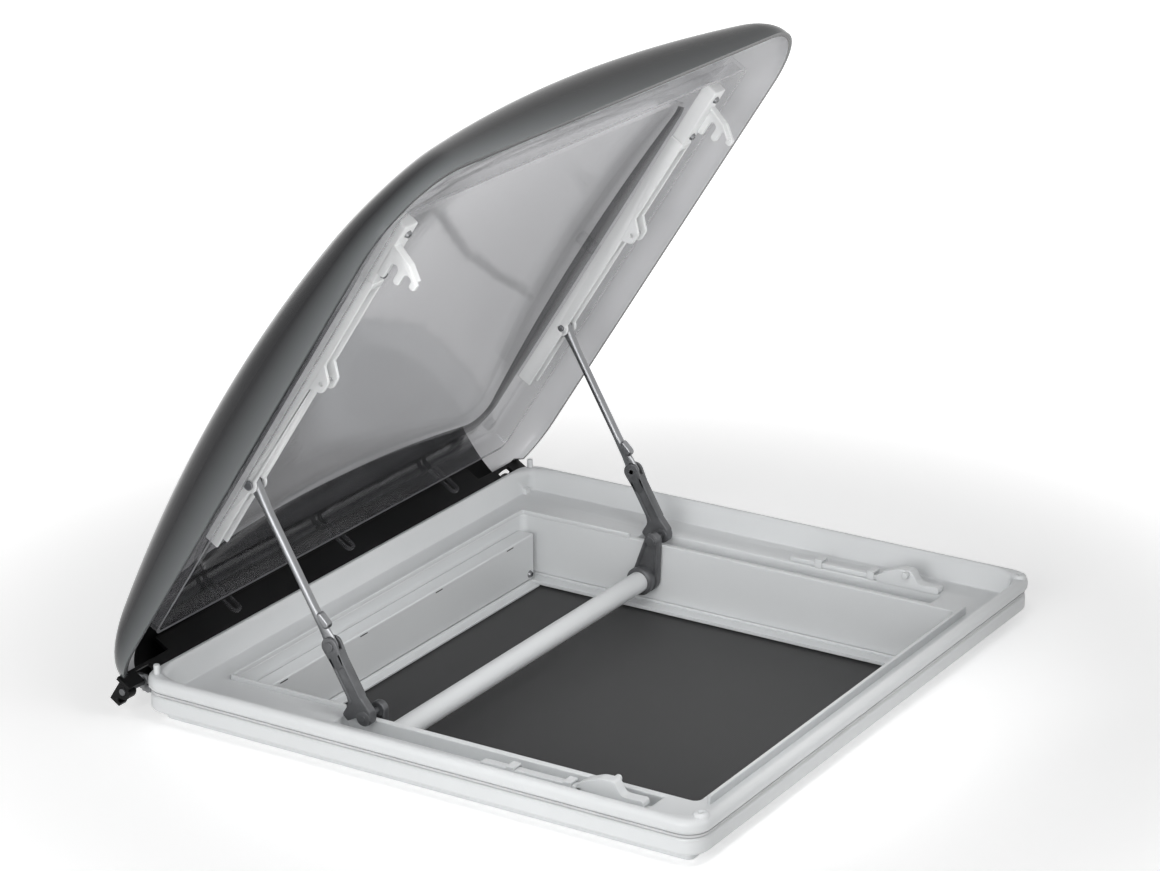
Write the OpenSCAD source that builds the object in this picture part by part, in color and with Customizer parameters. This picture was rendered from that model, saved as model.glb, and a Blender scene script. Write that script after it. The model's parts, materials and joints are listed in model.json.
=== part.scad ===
// Caravan roof vent: a roof frame with a hinged dome, a sliding bow, side latches and a roller blind.
// +X runs from the hinge side to the front, +Y runs along the hinge and +Z points up.
// The origin is the centre of the roof cut-out on the roof surface. Sizes are in millimetres and degrees.
// The lid is drawn open. Lid pieces are written with the hinge axis as zero and the lid lying closed.

/* [Roof opening] */
// Clear opening from the hinge side to the front
opening_x = 375; // [365:1:390]
// Clear opening along the hinge
opening_y = 375; // [365:1:390]
// Corner radius of the opening
opening_r = 6; // [3:1:12]
// Roof thickness from the outer skin to the ceiling trim
roof_t = 42; // [41:1:52]

/* [Roof frame] */
// Ledge width between opening and rim on the two latch sides
side_ledge = 49; // [46:1:56]
// Ledge width between opening and rim at the hinge side and the front
end_ledge = 23; // [20:1:28]
// Width of the raised rim
rim_w = 12.5; // [11:0.5:14]
// Outer corner radius of the rim
rim_r = 18; // [17:0.5:22]
// Height of the rim top above the roof
rim_top = 33.5; // [32:0.5:35]
// Height of the ledge above the roof
ledge_z = 16.3; // [15:0.1:17]
// Plate thickness of the ledge
ledge_t = 3; // [2:0.5:4]
// Height of the rounded lip at the rim top
lip_h = 11; // [10.5:0.5:12]
// Height of the groove under the lip
groove_h = 1.6; // [1.2:0.1:2.4]
// Depth of the groove behind the lip
groove_d = 3.5; // [2:0.5:5]
// Height of the lower bead of the rim
bulge_h = 13; // [10:0.5:14]
// Step of the lower bead behind the lip
bulge_inset = 1.5; // [0.5:0.5:3]
// Step of the skirt behind the lip
skirt_inset = 16; // [15:0.5:16.5]
// Wall thickness of the skirt
skirt_t = 3.5; // [3.5:0.5:5]
// Wall thickness of the neck in the roof cut-out
neck_t = 3; // [2:0.5:4]
// Depth of the neck below the roof surface
neck_depth = 30; // [26:1:31]
// Diameter of the screw bosses round the neck
boss_d = 9; // [8:0.5:10]
// Distance of the screw bosses from the middle of each side
boss_off = 130; // [110:1:150]

/* [Slide track and latches] */
// Width of the lip between opening and slide track
track_lip = 5.3; // [4:0.1:6]
// Width of the slide track
track_w = 16.5; // [16:0.5:20]
// Height of the track floor above the roof
track_z = 4; // [3:0.5:5]
// Travel of the latch bars
latch_travel = 13; // [12:0.5:15]
// Width of the latch bars
latch_w = 6.5; // [5:0.5:9]
// Diameter of the latch pins
latch_pin_d = 5; // [4:0.5:5.5]

/* [Hinge and lid] */
// Distance of the hinge axis behind the rim
pivot_back = 8.6; // [8.4:0.1:10]
// Height of the hinge axis above the roof
pivot_z = 21.3; // [20.5:0.1:22]
// Opening angle of the lid
open_angle = 57.4; // [50:0.2:60]
// Diameter of the hinge pins
hinge_pin_d = 5; // [4:0.5:6]
// Overhang of the closed lid over the rim
lid_over = 19.5; // [18:0.5:22]
// Height of the lid edge above the hinge axis
lid_edge = 4; // [3.5:0.1:5]
// Wall thickness of the dome
dome_t = 4; // [3:0.5:5]
// Height of the dome shoulder at the corners
dome_wall = 12; // [10:0.5:18]
// Rise of the dome from hinge side to front
crown_x = 28; // [25:0.5:34]
// Rise of the dome from side to side
crown_y = 27; // [24:0.5:34]
// Corner radius of the dome at the front
front_r = 67; // [50:1:72]
// Corner radius of the dome at the hinge side
rear_r = 58; // [50:1:62]

/* [Inner pane] */
// Distance of the pane edge from the hinge axis
pane_rear = 28.7; // [26:0.1:32]
// Length of the pane
pane_len = 401; // [396:1:408]
// Half width of the pane
pane_half = 224; // [221:1:228]
// Height of the pane edge above the hinge axis
pane_edge = 13.6; // [13.4:0.1:15]
// Sheet thickness of the pane
pane_t = 3; // [2:0.5:3.5]
// Lowest rise of the bulged middle of the pane
bulge_edge = 4; // [4:0.5:6]
// Rise of the bulged middle in each direction
bulge_rise = 13; // [10:0.5:14]

/* [Rails and hooks] */
// Distance of the rail start from the hinge axis
rail_start = 110; // [104:1:116]
// Width of the rails
rail_w = 13.4; // [13:0.1:14.4]
// Height of the rails
rail_h = 11.5; // [10:0.5:13]
// Wall thickness of the rails
rail_t = 2; // [1.5:0.1:2.2]
// Distance of the spare lugs from the hinge axis
lug_x = 273.5; // [262:0.5:285]
// Distance of the hook notches from the pane's front edge
hook_in = 47.7; // [44:0.1:51]
// Height of the upper notch above the hinge axis
notch_z = 6.4; // [6:0.1:7]
// Spacing of the two notches
notch_step = 11.5; // [10:0.5:12]
// Sheet thickness of the hook plates
hook_t = 3; // [2:0.5:3]

/* [Struts and bow] */
// Distance of the strut pins from the hinge axis
strut_x = 169.4; // [162:0.2:176]
// Position of the bow foot from the opening centre
foot_x = -66.2; // [-72:0.2:-60]
// Height of the bow foot pivot above the ledge
foot_lift = 4.3; // [4:0.1:5]
// Diameter of the strut rods
rod_d = 6.5; // [5:0.5:7.5]
// Length of the levers between knee and foot
lever_len = 53.8; // [48:0.2:58]
// Thickness of the levers
lever_t = 8; // [7:0.5:8.5]
// Diameter of the pivot pins of the struts and the bow
pin_d = 4.6; // [4:0.2:5]
// Diameter of the bow tube
tube_d = 16.3; // [14:0.1:18]
// Drop of the bow tube below the foot pivot
bow_drop = 31.5; // [30:0.5:35]
// Setback of the bow tube towards the hinge side
bow_back = 6; // [4:0.2:8]

/* [Blind] */
// Depth of the blind cassette
cassette_x = 14; // [13.5:0.5:16]
// Height of the cassette top above the roof
cassette_top = 5; // [-4:1:10]
// Width of the blind guides
guide_w = 10; // [8:0.5:12]
// Height of the blind guides
guide_h = 10; // [9:0.5:10]
// Slot height of the blind guides
guide_slot = 4; // [3.5:0.5:4.5]
// Diameter of the roller tube
roller_d = 7; // [6:0.5:8]
// Thickness of the blind fabric
fabric_t = 0.6; // [0.4:0.1:0.8]
// Depth of the pull bar
bar_x = 12; // [10:0.5:15]

/* [Hidden] */
$fn = 64;
white = [0.86, 0.87, 0.88];
smoke = [0.32, 0.32, 0.34];
clear_grey = [0.66, 0.67, 0.68];
black = [0.08, 0.08, 0.08];
steel = [0.58, 0.59, 0.6];
charcoal = [0.24, 0.24, 0.25];
seat = 0.3;
run_gap = 0.05;
eps = 0.5;

rim_x = opening_x + 2 * (end_ledge + rim_w);
rim_y = opening_y + 2 * (side_ledge + rim_w);
plate_z = ledge_z - ledge_t;
lip_z = rim_top - lip_h;
lip_r = 4.5;
bulge_z = lip_z - groove_h - bulge_h;
bulge_r = 3;
seal_w = 6;
seal_t = 3;
seal_r = 1;
seal_out = skirt_inset + seat;
rib_t = 3;
neck_x = opening_x + 2 * neck_t;
neck_y = opening_y + 2 * neck_t;
boss_x = neck_x / 2 + boss_d / 2 - eps;
boss_y = neck_y / 2 + boss_d / 2 - eps;
boss_low = -neck_depth + 8;
screw_d = 3;
screw_hole = 3.2;
pass_hole = 4.2;
head_hole = 8;
boss_bore = 28;
screw_grip = 14;
trim_t = 4;
trim_over = 40;
trim_r = 14;
screw_head = 2;
buffer_d = 8;
buffer_pin = 3;
buffer_h = 2.5;
buffer_turn = 15;
rim_mid = rim_r - rim_w / 2;
buffer_x = rim_x / 2 - rim_r + rim_mid * cos(buffer_turn);
buffer_y = rim_y / 2 - rim_r + rim_mid * sin(buffer_turn);
post_x = rim_x / 2 - rim_r + rim_mid * cos(45);
post_y = rim_y / 2 - rim_r + rim_mid * sin(45);
post_d = 4.5;
post_h = 7;

track_y0 = opening_y / 2 + track_lip;
track_y1 = track_y0 + track_w;
track_t = 2;
strut_y = track_y0 + 6;
foot_z = ledge_z + foot_lift;
pivot_x = -rim_x / 2 - pivot_back;
strut_z = pane_edge + 3.2;
r0_x = pivot_x + strut_x * cos(open_angle) - strut_z * sin(open_angle);
r0_z = pivot_z + strut_x * sin(open_angle) + strut_z * cos(open_angle);
strut_len = norm([foot_x - r0_x, foot_z - r0_z]);
strut_tilt = atan2(r0_z - foot_z, foot_x - r0_x);
closed_rise = pivot_z + strut_z - foot_z;
foot_x1 = pivot_x + strut_x + sqrt(strut_len * strut_len - closed_rise * closed_rise);
hook_w = 20;
hook_back = 21;
hook_front = 30;
hook_x = pane_rear + pane_len - hook_in;
hook_x1 = hook_x + hook_front;
hook_screw_offs = [-14, 22];
hook_tip = notch_z - notch_step - 8.2;
hook_y0 = strut_y + lever_t / 2 + 1.2;
notch_r = latch_pin_d / 2 + 0.6;
leg_reach = 20;
track_x0 = foot_x - leg_reach;
track_x1 = max(pivot_x + hook_x + hook_w / 2, foot_x1 + leg_reach) + 4;

latch_y0 = track_y1 + 1;
latch_x = pivot_x + hook_x - latch_travel;
latch_z = pivot_z + notch_z;
latch_bar_t = 4;
latch_tail = 100;
latch_head = 26;
hump_back = 14;
hump_front = 4.5;
hump_top = latch_z + latch_pin_d / 2 + 1;
keeper_w = 6;
keeper_t = 2;
keeper_offs = [-34, -78];

block_in = 25;
block_y0 = rim_y / 2 - block_in;
block_y1 = block_y0 + 7;
block_out = 5;
block_h = 9;
bracket_t = 3;
bracket_screw_x = -rim_x / 2 - 2.4;
bracket_screw_z = lip_z - block_h / 2;
bracket_y1 = block_y1 + bracket_t;
claw_y0 = bracket_y1 + 13;
claw_y1 = claw_y0 + 8;
eye_r = 5.5;
claw_r = 6;
claw_tail = 12;
strip_x = 4;
strip_t = 3;
strip_low = -3;
strip_high = lid_edge + 5;
web_high = 22;

lid_x0 = pivot_back - lid_over;
lid_x1 = lid_x0 + rim_x + 2 * lid_over;
lid_y = rim_y / 2 + lid_over;
foot_y = lid_y - rear_r;
web_y = foot_y - 12;
lid_cx = (lid_x0 + lid_x1) / 2;
lid_ax = (lid_x1 - lid_x0) / 2;
dome_skirt = 3;
dome_power = 24;
dome_rings = 14;
pane_cx = pane_rear + pane_len / 2;
pane_r = 22;
flange_z = pane_edge + rail_h + seat;
bulge_rear_in = 28;
bulge_front_in = 26;
bulge_x0 = pane_rear + bulge_rear_in;
bulge_x1 = pane_rear + pane_len - bulge_front_in;
bulge_y = strut_y - rail_w / 2 - 3;
bulge_cr = 24;
bulge_rings = 8;
arc_steps = 8;
edge_steps = 10;
clip_w = 14;
clip_ys = [-140, 0, 140];
spacer_r = 5;
spacer_gap = 0.8;
spacer_xs = [pane_rear + 14, pane_cx, pane_rear + pane_len - 13];
spacer_out = 7.45;
spacer_y = (bulge_y + pane_half) / 2 + spacer_out;

rail_z1 = pane_edge + rail_h;
rail_web = 3;
rail_end = hook_x - hook_back;
lug_z = pane_edge - 3;
rail_screw_xs = [rail_start + 12, lug_x - 20, rail_end - 12];

knee_x = strut_len - lever_len;
knee_r = 6.5;
tongue_t = 3;
eye_w = 7.5;
foot_r = 6.2;
leg_drop = 14;
bow_x = foot_x - bow_back;
bow_z = foot_z - bow_drop;
arm_y1 = opening_y / 2 - 1.2;
arm_y0 = arm_y1 - 6;
collar_r = tube_d / 2 + 3;
collar_y0 = arm_y1 - 15;
tube_half = arm_y1 - 3;
tube_wall = 1.5;

guide_z1 = -neck_depth - 2.5;
guide_z0 = guide_z1 - guide_h;
guide_mid = (guide_z0 + guide_z1) / 2;
guide_y0 = opening_y / 2 - guide_w;
fabric_y = opening_y / 2 - 4;
cassette_y = opening_y / 2 - opening_r;
flap_y = cassette_y - 4;
cassette_x0 = -opening_x / 2 + seat;
cassette_x1 = cassette_x0 + cassette_x;
cassette_z0 = guide_z1 + seat;
cassette_t = 1.4;
roller_pin = 3;
roller_x = (cassette_x0 + cassette_x1) / 2;
roller_z = cassette_z0 + 8;
guide_x0 = cassette_x1 + seat;
guide_x1 = opening_x / 2 - opening_r;
bar_x1 = guide_x1 - 4;
bar_x0 = bar_x1 - bar_x;
bar_y = guide_y0 - 1.5;
grip_y = 30;

function arc_pts(c, r, a0) =
    [for (i = [0 : arc_steps]) c + r * [cos(a0 + 90 * i / arc_steps), sin(a0 + 90 * i / arc_steps)]];

function edge_pts(p, q) = [for (i = [1 : edge_steps - 1]) p + (q - p) * i / edge_steps];

function outline(x0, x1, y, rr, rf) = concat(
    arc_pts([x1 - rf, y - rf], rf, 0),
    edge_pts([x1 - rf, y], [x0 + rr, y]),
    arc_pts([x0 + rr, y - rr], rr, 90),
    edge_pts([x0, y - rr], [x0, rr - y]),
    arc_pts([x0 + rr, rr - y], rr, 180),
    edge_pts([x0 + rr, -y], [x1 - rf, -y]),
    arc_pts([x1 - rf, rf - y], rf, 270),
    edge_pts([x1, rf - y], [x1, y - rf])
);

function crown(p) =
    crown_x * (1 - pow((p[0] - lid_cx) / lid_ax, 2)) + crown_y * (1 - pow(p[1] / lid_y, 2));

function dome_z(p, t, wall) =
    lid_edge + dome_skirt + (dome_wall + crown(p) - wall) * sqrt(1 - pow(t, dome_power));

function under_dome(p) = dome_z(
    p,
    max(abs(p[0] - lid_cx) / (lid_ax - dome_t), abs(p[1]) / (lid_y - dome_t)),
    dome_t
);

function bulge_top(p) = flange_z + pane_t + bulge_edge
    + bulge_rise * (1 - pow((p[0] - (bulge_x0 + bulge_x1) / 2) / ((bulge_x1 - bulge_x0) / 2), 2))
    + bulge_rise * (1 - pow(p[1] / bulge_y, 2));

// Solid over a flat outline whose top follows a height rule on rings shrinking to the centre
module crowned(loop, c, low, rings, height) {
    m = len(loop);
    shrink = [for (k = [0 : rings - 1]) 1 - pow(k / rings, 3)];
    top = [for (t = shrink) for (p = loop) let (q = c + (p - c) * t) [q[0], q[1], height(q, t)]];
    base = [for (p = loop) [p[0], p[1], low]];
    tip = rings * m;
    polyhedron(
        points = concat(top, [[c[0], c[1], height(c, 0)]], base, [[c[0], c[1], low]]),
        faces = concat(
            [for (k = [0 : rings - 2]) for (i = [0 : m - 1]) let (j = (i + 1) % m)
                [k * m + i, (k + 1) * m + j, k * m + j]],
            [for (k = [0 : rings - 2]) for (i = [0 : m - 1]) let (j = (i + 1) % m)
                [k * m + i, (k + 1) * m + i, (k + 1) * m + j]],
            [for (i = [0 : m - 1]) [(rings - 1) * m + i, tip, (rings - 1) * m + (i + 1) % m]],
            [for (i = [0 : m - 1]) [i, (i + 1) % m, tip + 1 + (i + 1) % m]],
            [for (i = [0 : m - 1]) [i, tip + 1 + (i + 1) % m, tip + 1 + i]],
            [for (i = [0 : m - 1]) [tip + 1 + m, tip + 1 + i, tip + 1 + (i + 1) % m]]
        )
    );
}

module rounded_rect(x, y, r) {
    square([x - 2 * r, y], center = true);
    square([x, y - 2 * r], center = true);
    for (sx = [-1, 1])
        for (sy = [-1, 1])
            translate([sx * (x / 2 - r), sy * (y / 2 - r)]) circle(r = r);
}

// Band of a given width, set in from the outline of the rim
module flat_ring(inset, w) {
    difference() {
        rounded_rect(rim_x - 2 * inset, rim_y - 2 * inset, seal_r);
        rounded_rect(rim_x - 2 * (inset + w), rim_y - 2 * (inset + w), seal_r);
    }
}

module round_bar(w, h, r) {
    translate([w / 2, h / 2]) rounded_rect(w, h, r);
}

// Profile drawn from the outer edge inwards, carried round a rounded rectangle
module ring(x, y, r) {
    for (a = [0, 180]) {
        rotate(a) translate([x / 2, 0, 0]) rotate([90, 0, 0])
            linear_extrude(y - 2 * r, center = true) children();
        rotate(a + 90) translate([y / 2, 0, 0]) rotate([90, 0, 0])
            linear_extrude(x - 2 * r, center = true) children();
        rotate(a) translate([x / 2 - r, y / 2 - r, 0])
            rotate_extrude(angle = 90) translate([r, 0]) children();
        rotate(a) mirror([0, 1, 0]) translate([x / 2 - r, y / 2 - r, 0])
            rotate_extrude(angle = 90) translate([r, 0]) children();
    }
}

module both_sides() {
    children();
    mirror([0, 1, 0]) children();
}

module on_lid() {
    translate([pivot_x, 0, pivot_z]) rotate([0, -open_angle, 0]) children();
}

module on_strut() {
    translate([r0_x, strut_y, r0_z]) rotate([0, strut_tilt, 0]) children();
}

// Plate drawn in the X and Z plane, standing between two Y values
module side_plate(y0, y1) {
    translate([0, y1, 0]) rotate([90, 0, 0]) linear_extrude(y1 - y0) children();
}

// Cylinder along Y between two Y values at a place in the X and Z plane
module y_pin(x, z, d, y0, y1) {
    translate([x, y1, z]) rotate([90, 0, 0]) cylinder(d = d, h = y1 - y0);
}

module span(x0, x1, y0, y1, z0, z1) {
    translate([x0, y0, z0]) cube([x1 - x0, y1 - y0, z1 - z0]);
}

// Bosses at the hinge side and the front, left free for the installer's screws
module at_fixings() {
    for (sx = [-1, 1])
        for (sy = [-1, 1])
            translate([sx * boss_x, sy * boss_off, 0]) children();
}

// Bosses at the latch sides, which take the screws of the ceiling trim
module at_trim() {
    for (sx = [-1, 1])
        for (sy = [-1, 1])
            translate([sx * boss_off, sy * boss_y, 0]) children();
}

module at_bosses() {
    at_fixings() children();
    at_trim() children();
}

module rim_profile() {
    translate([-rim_w, plate_z]) square([rim_w - groove_d, rim_top - lip_r - plate_z]);
    translate([-rim_w, lip_z]) round_bar(rim_w, lip_h, lip_r);
    translate([-rim_w, bulge_z]) round_bar(rim_w - bulge_inset, bulge_h, bulge_r);
    translate([-skirt_inset, 0]) square([skirt_t, ledge_z]);
}

module outer_frame() {
    color(white) difference() {
        union() {
            ring(rim_x, rim_y, rim_r) rim_profile();
            translate([0, 0, plate_z]) linear_extrude(ledge_t)
                rounded_rect(rim_x - 2 * rim_w + 2, rim_y - 2 * rim_w + 2, rim_r - rim_w + 1);
            translate([0, 0, -neck_depth]) linear_extrude(neck_depth + ledge_z)
                rounded_rect(neck_x, neck_y, opening_r + neck_t);
            translate([0, 0, seal_t]) linear_extrude(plate_z - seal_t + eps)
                flat_ring(seal_out + (seal_w - rib_t) / 2, rib_t);
            both_sides()
                span(track_x0 - track_t, track_x1 + track_t, opening_y / 2, track_y1 + track_t,
                    track_z - track_t, ledge_z);
            both_sides()
                span(-rim_x / 2 - block_out, -rim_x / 2 + skirt_inset, block_y0, block_y1,
                    lip_z - block_h, lip_z - groove_h);
            at_bosses() translate([0, 0, boss_low]) cylinder(d = boss_d, h = plate_z - boss_low + eps);
        }
        translate([0, 0, -neck_depth - 1]) linear_extrude(neck_depth + rim_top)
            rounded_rect(opening_x, opening_y, opening_r);
        both_sides() span(track_x0, track_x1, track_y0, track_y1, track_z, rim_top);
        at_bosses() translate([0, 0, boss_low - 1]) cylinder(d = screw_hole, h = boss_bore + 1);
        both_sides() y_pin(bracket_screw_x, bracket_screw_z, screw_hole, block_y0 - 1, block_y1 + 1);
        for (s = [-1, 1])
            translate([buffer_x, s * buffer_y, rim_top - 3]) cylinder(d = buffer_pin + 2 * run_gap, h = 4);
    }
}

module inner_frame() {
    color(white) difference() {
        union() {
            translate([0, 0, -roof_t]) linear_extrude(roof_t - neck_depth - seat)
                rounded_rect(neck_x, neck_y, opening_r + neck_t);
            translate([0, 0, -roof_t - trim_t]) linear_extrude(trim_t)
                rounded_rect(neck_x + 2 * trim_over, neck_y + 2 * trim_over, trim_r);
        }
        translate([0, 0, -roof_t - trim_t - 1]) linear_extrude(roof_t + trim_t)
            rounded_rect(opening_x, opening_y, opening_r);
        at_bosses() translate([0, 0, -roof_t - trim_t - 1]) {
            cylinder(d = pass_hole, h = trim_t + 2);
            cylinder(d = head_hole, h = 1 + screw_head);
        }
    }
}

module roof_seal() {
    color(charcoal) linear_extrude(seal_t) flat_ring(seal_out, seal_w);
}

module rim_seal() {
    color(charcoal)
        ring(rim_x - 2 * bulge_inset, rim_y - 2 * bulge_inset, rim_r - bulge_inset)
            translate([bulge_inset - groove_d, lip_z - groove_h]) square([groove_d - bulge_inset - eps, groove_h]);
}

module trim_screws() {
    color(steel) at_trim() {
        translate([0, 0, -roof_t - trim_t]) cylinder(d = 2 * screw_d + 1, h = screw_head);
        translate([0, 0, -roof_t - trim_t]) cylinder(d = screw_d, h = roof_t + trim_t + boss_low + screw_grip);
    }
}

module corner_buffers() {
    color(white)
        for (s = [-1, 1])
            translate([buffer_x, s * buffer_y, rim_top]) difference() {
                union() {
                    cylinder(d = buffer_d, h = buffer_h);
                    translate([0, 0, -2.5]) cylinder(d = buffer_pin, h = 3);
                }
                translate([0, 0, 0.6]) cylinder(d = buffer_pin, h = buffer_h);
            }
}

module corner_posts() {
    color(white)
        for (s = [-1, 1])
            translate([-post_x, s * post_y, rim_top]) cylinder(d = post_d, h = post_h);
}

module hinge_bracket_right() {
    color(steel) difference() {
        side_plate(block_y1, bracket_y1) {
            translate([pivot_x, pivot_z]) circle(r = eye_r);
            translate([pivot_x, lip_z - block_h + 1]) square([pivot_back + 0.5, block_h - 2]);
        }
        y_pin(pivot_x, pivot_z, hinge_pin_d + 2 * run_gap, block_y1 - 1, bracket_y1 + 1);
        y_pin(bracket_screw_x, bracket_screw_z, screw_hole, block_y1 - 1, bracket_y1 + 1);
    }
}

module bracket_screws() {
    color(steel) both_sides() {
        y_pin(bracket_screw_x, bracket_screw_z, screw_d, block_y0, bracket_y1);
        y_pin(bracket_screw_x, bracket_screw_z, 2 * screw_d, bracket_y1, bracket_y1 + screw_head);
    }
}

module hinge_pins() {
    color(steel) both_sides() y_pin(pivot_x, pivot_z, hinge_pin_d, block_y1 + seat, claw_y1 + 1);
}

module blind_cassette() {
    color(white) difference() {
        span(cassette_x0, cassette_x1, -cassette_y, cassette_y, cassette_z0, cassette_top);
        span(cassette_x0 + cassette_t, cassette_x1 - cassette_t, -cassette_y + 3, cassette_y - 3,
            cassette_z0 + cassette_t, cassette_top - cassette_t);
        span(roller_x - 2, roller_x + 2, -cassette_y + 3, cassette_y - 3, cassette_z0 - 1, cassette_z0 + 2);
        y_pin(roller_x, roller_z, roller_pin + 2 * run_gap, -cassette_y - 1, cassette_y + 1);
    }
}

module cassette_screws() {
    color(steel) both_sides()
        translate([cassette_x1, cassette_y - 6, cassette_z0 + 5]) rotate([0, 90, 0])
            cylinder(d = 2 * screw_d, h = screw_head);
}

module guide_right() {
    color(white) difference() {
        span(guide_x0, guide_x1, guide_y0, opening_y / 2 - seat, guide_z0, guide_z1);
        span(guide_x0 - 1, guide_x1 + 1, guide_y0 - 1, fabric_y + 1,
            guide_mid - guide_slot / 2, guide_mid + guide_slot / 2);
    }
}

module roller_tube() {
    color(steel) {
        y_pin(roller_x, roller_z, roller_d, -cassette_y + 4, cassette_y - 4);
        y_pin(roller_x, roller_z, roller_pin, -cassette_y + 1, cassette_y - 1);
    }
}

module blind_fabric() {
    color(charcoal) {
        span(roller_x - fabric_t / 2, bar_x0 + 2, -fabric_y, fabric_y, guide_mid - fabric_t / 2, guide_mid + fabric_t / 2);
        span(roller_x - fabric_t / 2, roller_x + fabric_t / 2, -flap_y, flap_y,
            guide_mid, roller_z - roller_d / 2 - seat);
    }
}

module pull_bar() {
    color(charcoal) difference() {
        union() {
            span(bar_x0, bar_x1, -bar_y, bar_y, guide_z0 - 1, guide_z1);
            span(bar_x0 + 2, bar_x1 - 2, -fabric_y, fabric_y, guide_mid - 1.2, guide_mid + 1.2);
            span(bar_x0 + 4, bar_x1 - 4, -grip_y, grip_y, -roof_t - trim_t + seat, guide_z0);
        }
        span(bar_x0 - 1, bar_x0 + 2.5, -fabric_y - 1, fabric_y + 1, guide_mid - 0.8, guide_mid + 0.8);
    }
}

module dome() {
    color(smoke) on_lid() difference() {
        crowned(outline(lid_x0, lid_x1, lid_y, rear_r, front_r), [lid_cx, 0], lid_edge, dome_rings,
            function (p, t) dome_z(p, t, 0));
        crowned(
            outline(lid_x0 + dome_t, lid_x1 - dome_t, lid_y - dome_t, rear_r - dome_t, front_r - dome_t),
            [lid_cx, 0], lid_edge - 1, dome_rings, function (p, t) dome_z(p, t, dome_t));
        both_sides()
            span(lid_x0 - 5, strip_x + strip_t + 2, block_y0 - 2, claw_y1 + 5, lid_edge - 2, strip_high + seat);
    }
}

module inner_pane() {
    bulge_c = [(bulge_x0 + bulge_x1) / 2, 0];
    color(clear_grey) on_lid() difference() {
        union() {
            translate([pane_cx, 0, pane_edge]) linear_extrude(flange_z + pane_t - pane_edge)
                rounded_rect(pane_len, 2 * pane_half, pane_r);
            crowned(outline(bulge_x0, bulge_x1, bulge_y, bulge_cr, bulge_cr), bulge_c, flange_z,
                bulge_rings, function (p, t) bulge_top(p));
        }
        translate([pane_cx, 0, pane_edge - 1]) linear_extrude(flange_z - pane_edge + 1)
            rounded_rect(pane_len - 2 * pane_t, 2 * (pane_half - pane_t), pane_r - pane_t);
        crowned(
            outline(bulge_x0 + pane_t, bulge_x1 - pane_t, bulge_y - pane_t, bulge_cr - pane_t, bulge_cr - pane_t),
            bulge_c, flange_z - 1, bulge_rings, function (p, t) bulge_top(p) - pane_t);
        both_sides()
            span(rail_start - seat, hook_x1 + seat, strut_y - rail_w / 2 - seat, hook_y0 + hook_t + seat,
                pane_edge - 1, rail_z1);
    }
}

module pane_spacers() {
    color(clear_grey) on_lid() both_sides()
        for (x = spacer_xs)
            translate([x, spacer_y, flange_z + pane_t])
                cylinder(r = spacer_r, h = under_dome([x + sign(x - lid_cx) * spacer_r, spacer_y + spacer_r])
                    - spacer_gap - flange_z - pane_t);
}

module pane_clips() {
    color(clear_grey) on_lid()
        for (y = clip_ys) {
            span(strip_x + strip_t, pane_rear, y - clip_w / 2, y + clip_w / 2, pane_edge, pane_edge + 3);
            span(strip_x + strip_t, strip_x + strip_t + 3, y - clip_w / 2, y + clip_w / 2, pane_edge, web_high);
        }
}

module hinge_profile() {
    color(black) on_lid() difference() {
        union() {
            span(strip_x, strip_x + strip_t, -web_y, web_y, strip_low, web_high);
            span(strip_x, strip_x + strip_t, -claw_y1, claw_y1, strip_low, strip_high);
            span(lid_x0 + dome_t + seat, strip_x + eps, -foot_y, foot_y, lid_edge + seat, lid_edge + 3);
        }
        both_sides()
            span(strip_x - 1, strip_x + strip_t + 1, block_y0 - 2, bracket_y1 + 4, strip_low - 1, eye_r + 1);
    }
}

module hinge_claws() {
    color(black) on_lid() both_sides() difference() {
        side_plate(claw_y0, claw_y1) difference() {
            union() {
                circle(r = claw_r);
                square([strip_x, claw_r]);
                translate([-claw_tail, 0]) square([claw_tail, claw_r]);
                translate([-claw_tail, -claw_r / 2]) square([3, claw_r]);
            }
            translate([strip_x, -claw_r]) square(2 * claw_r);
        }
        y_pin(0, 0, hinge_pin_d + 2 * run_gap, claw_y0 - 1, claw_y1 + 1);
    }
}

module rail_right() {
    color(white) on_lid() difference() {
        union() {
            span(rail_start, rail_end, strut_y - rail_w / 2, strut_y + rail_w / 2, pane_edge, rail_z1);
            y_pin(strut_x, strut_z, 12, strut_y - rail_w / 2, strut_y + rail_w / 2);
            y_pin(lug_x, lug_z, 11, strut_y - rail_w / 2, strut_y + rail_w / 2);
            span(lug_x - 5.5, lug_x + 5.5, strut_y - rail_w / 2, strut_y + rail_w / 2, lug_z, rail_z1);
        }
        span(rail_start - 1, rail_end - 6, strut_y - rail_w / 2 + rail_t, strut_y + rail_w / 2 - rail_t,
            lug_z - 8, rail_z1 - rail_web);
        y_pin(strut_x, strut_z, pin_d + 2 * run_gap, strut_y - rail_w, strut_y + rail_w);
        y_pin(lug_x, lug_z, pin_d, strut_y - rail_w, strut_y + rail_w);
        for (x = rail_screw_xs)
            translate([x, strut_y, rail_z1 - rail_h]) cylinder(d = screw_hole, h = 2 * rail_h);
    }
}

module rail_screws() {
    color(steel) on_lid() both_sides()
        for (x = rail_screw_xs)
            translate([x, strut_y, rail_z1 - rail_web]) {
                translate([0, 0, -screw_head]) cylinder(d = 2 * screw_d, h = screw_head);
                cylinder(d = screw_d, h = rail_web);
            }
}

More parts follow.
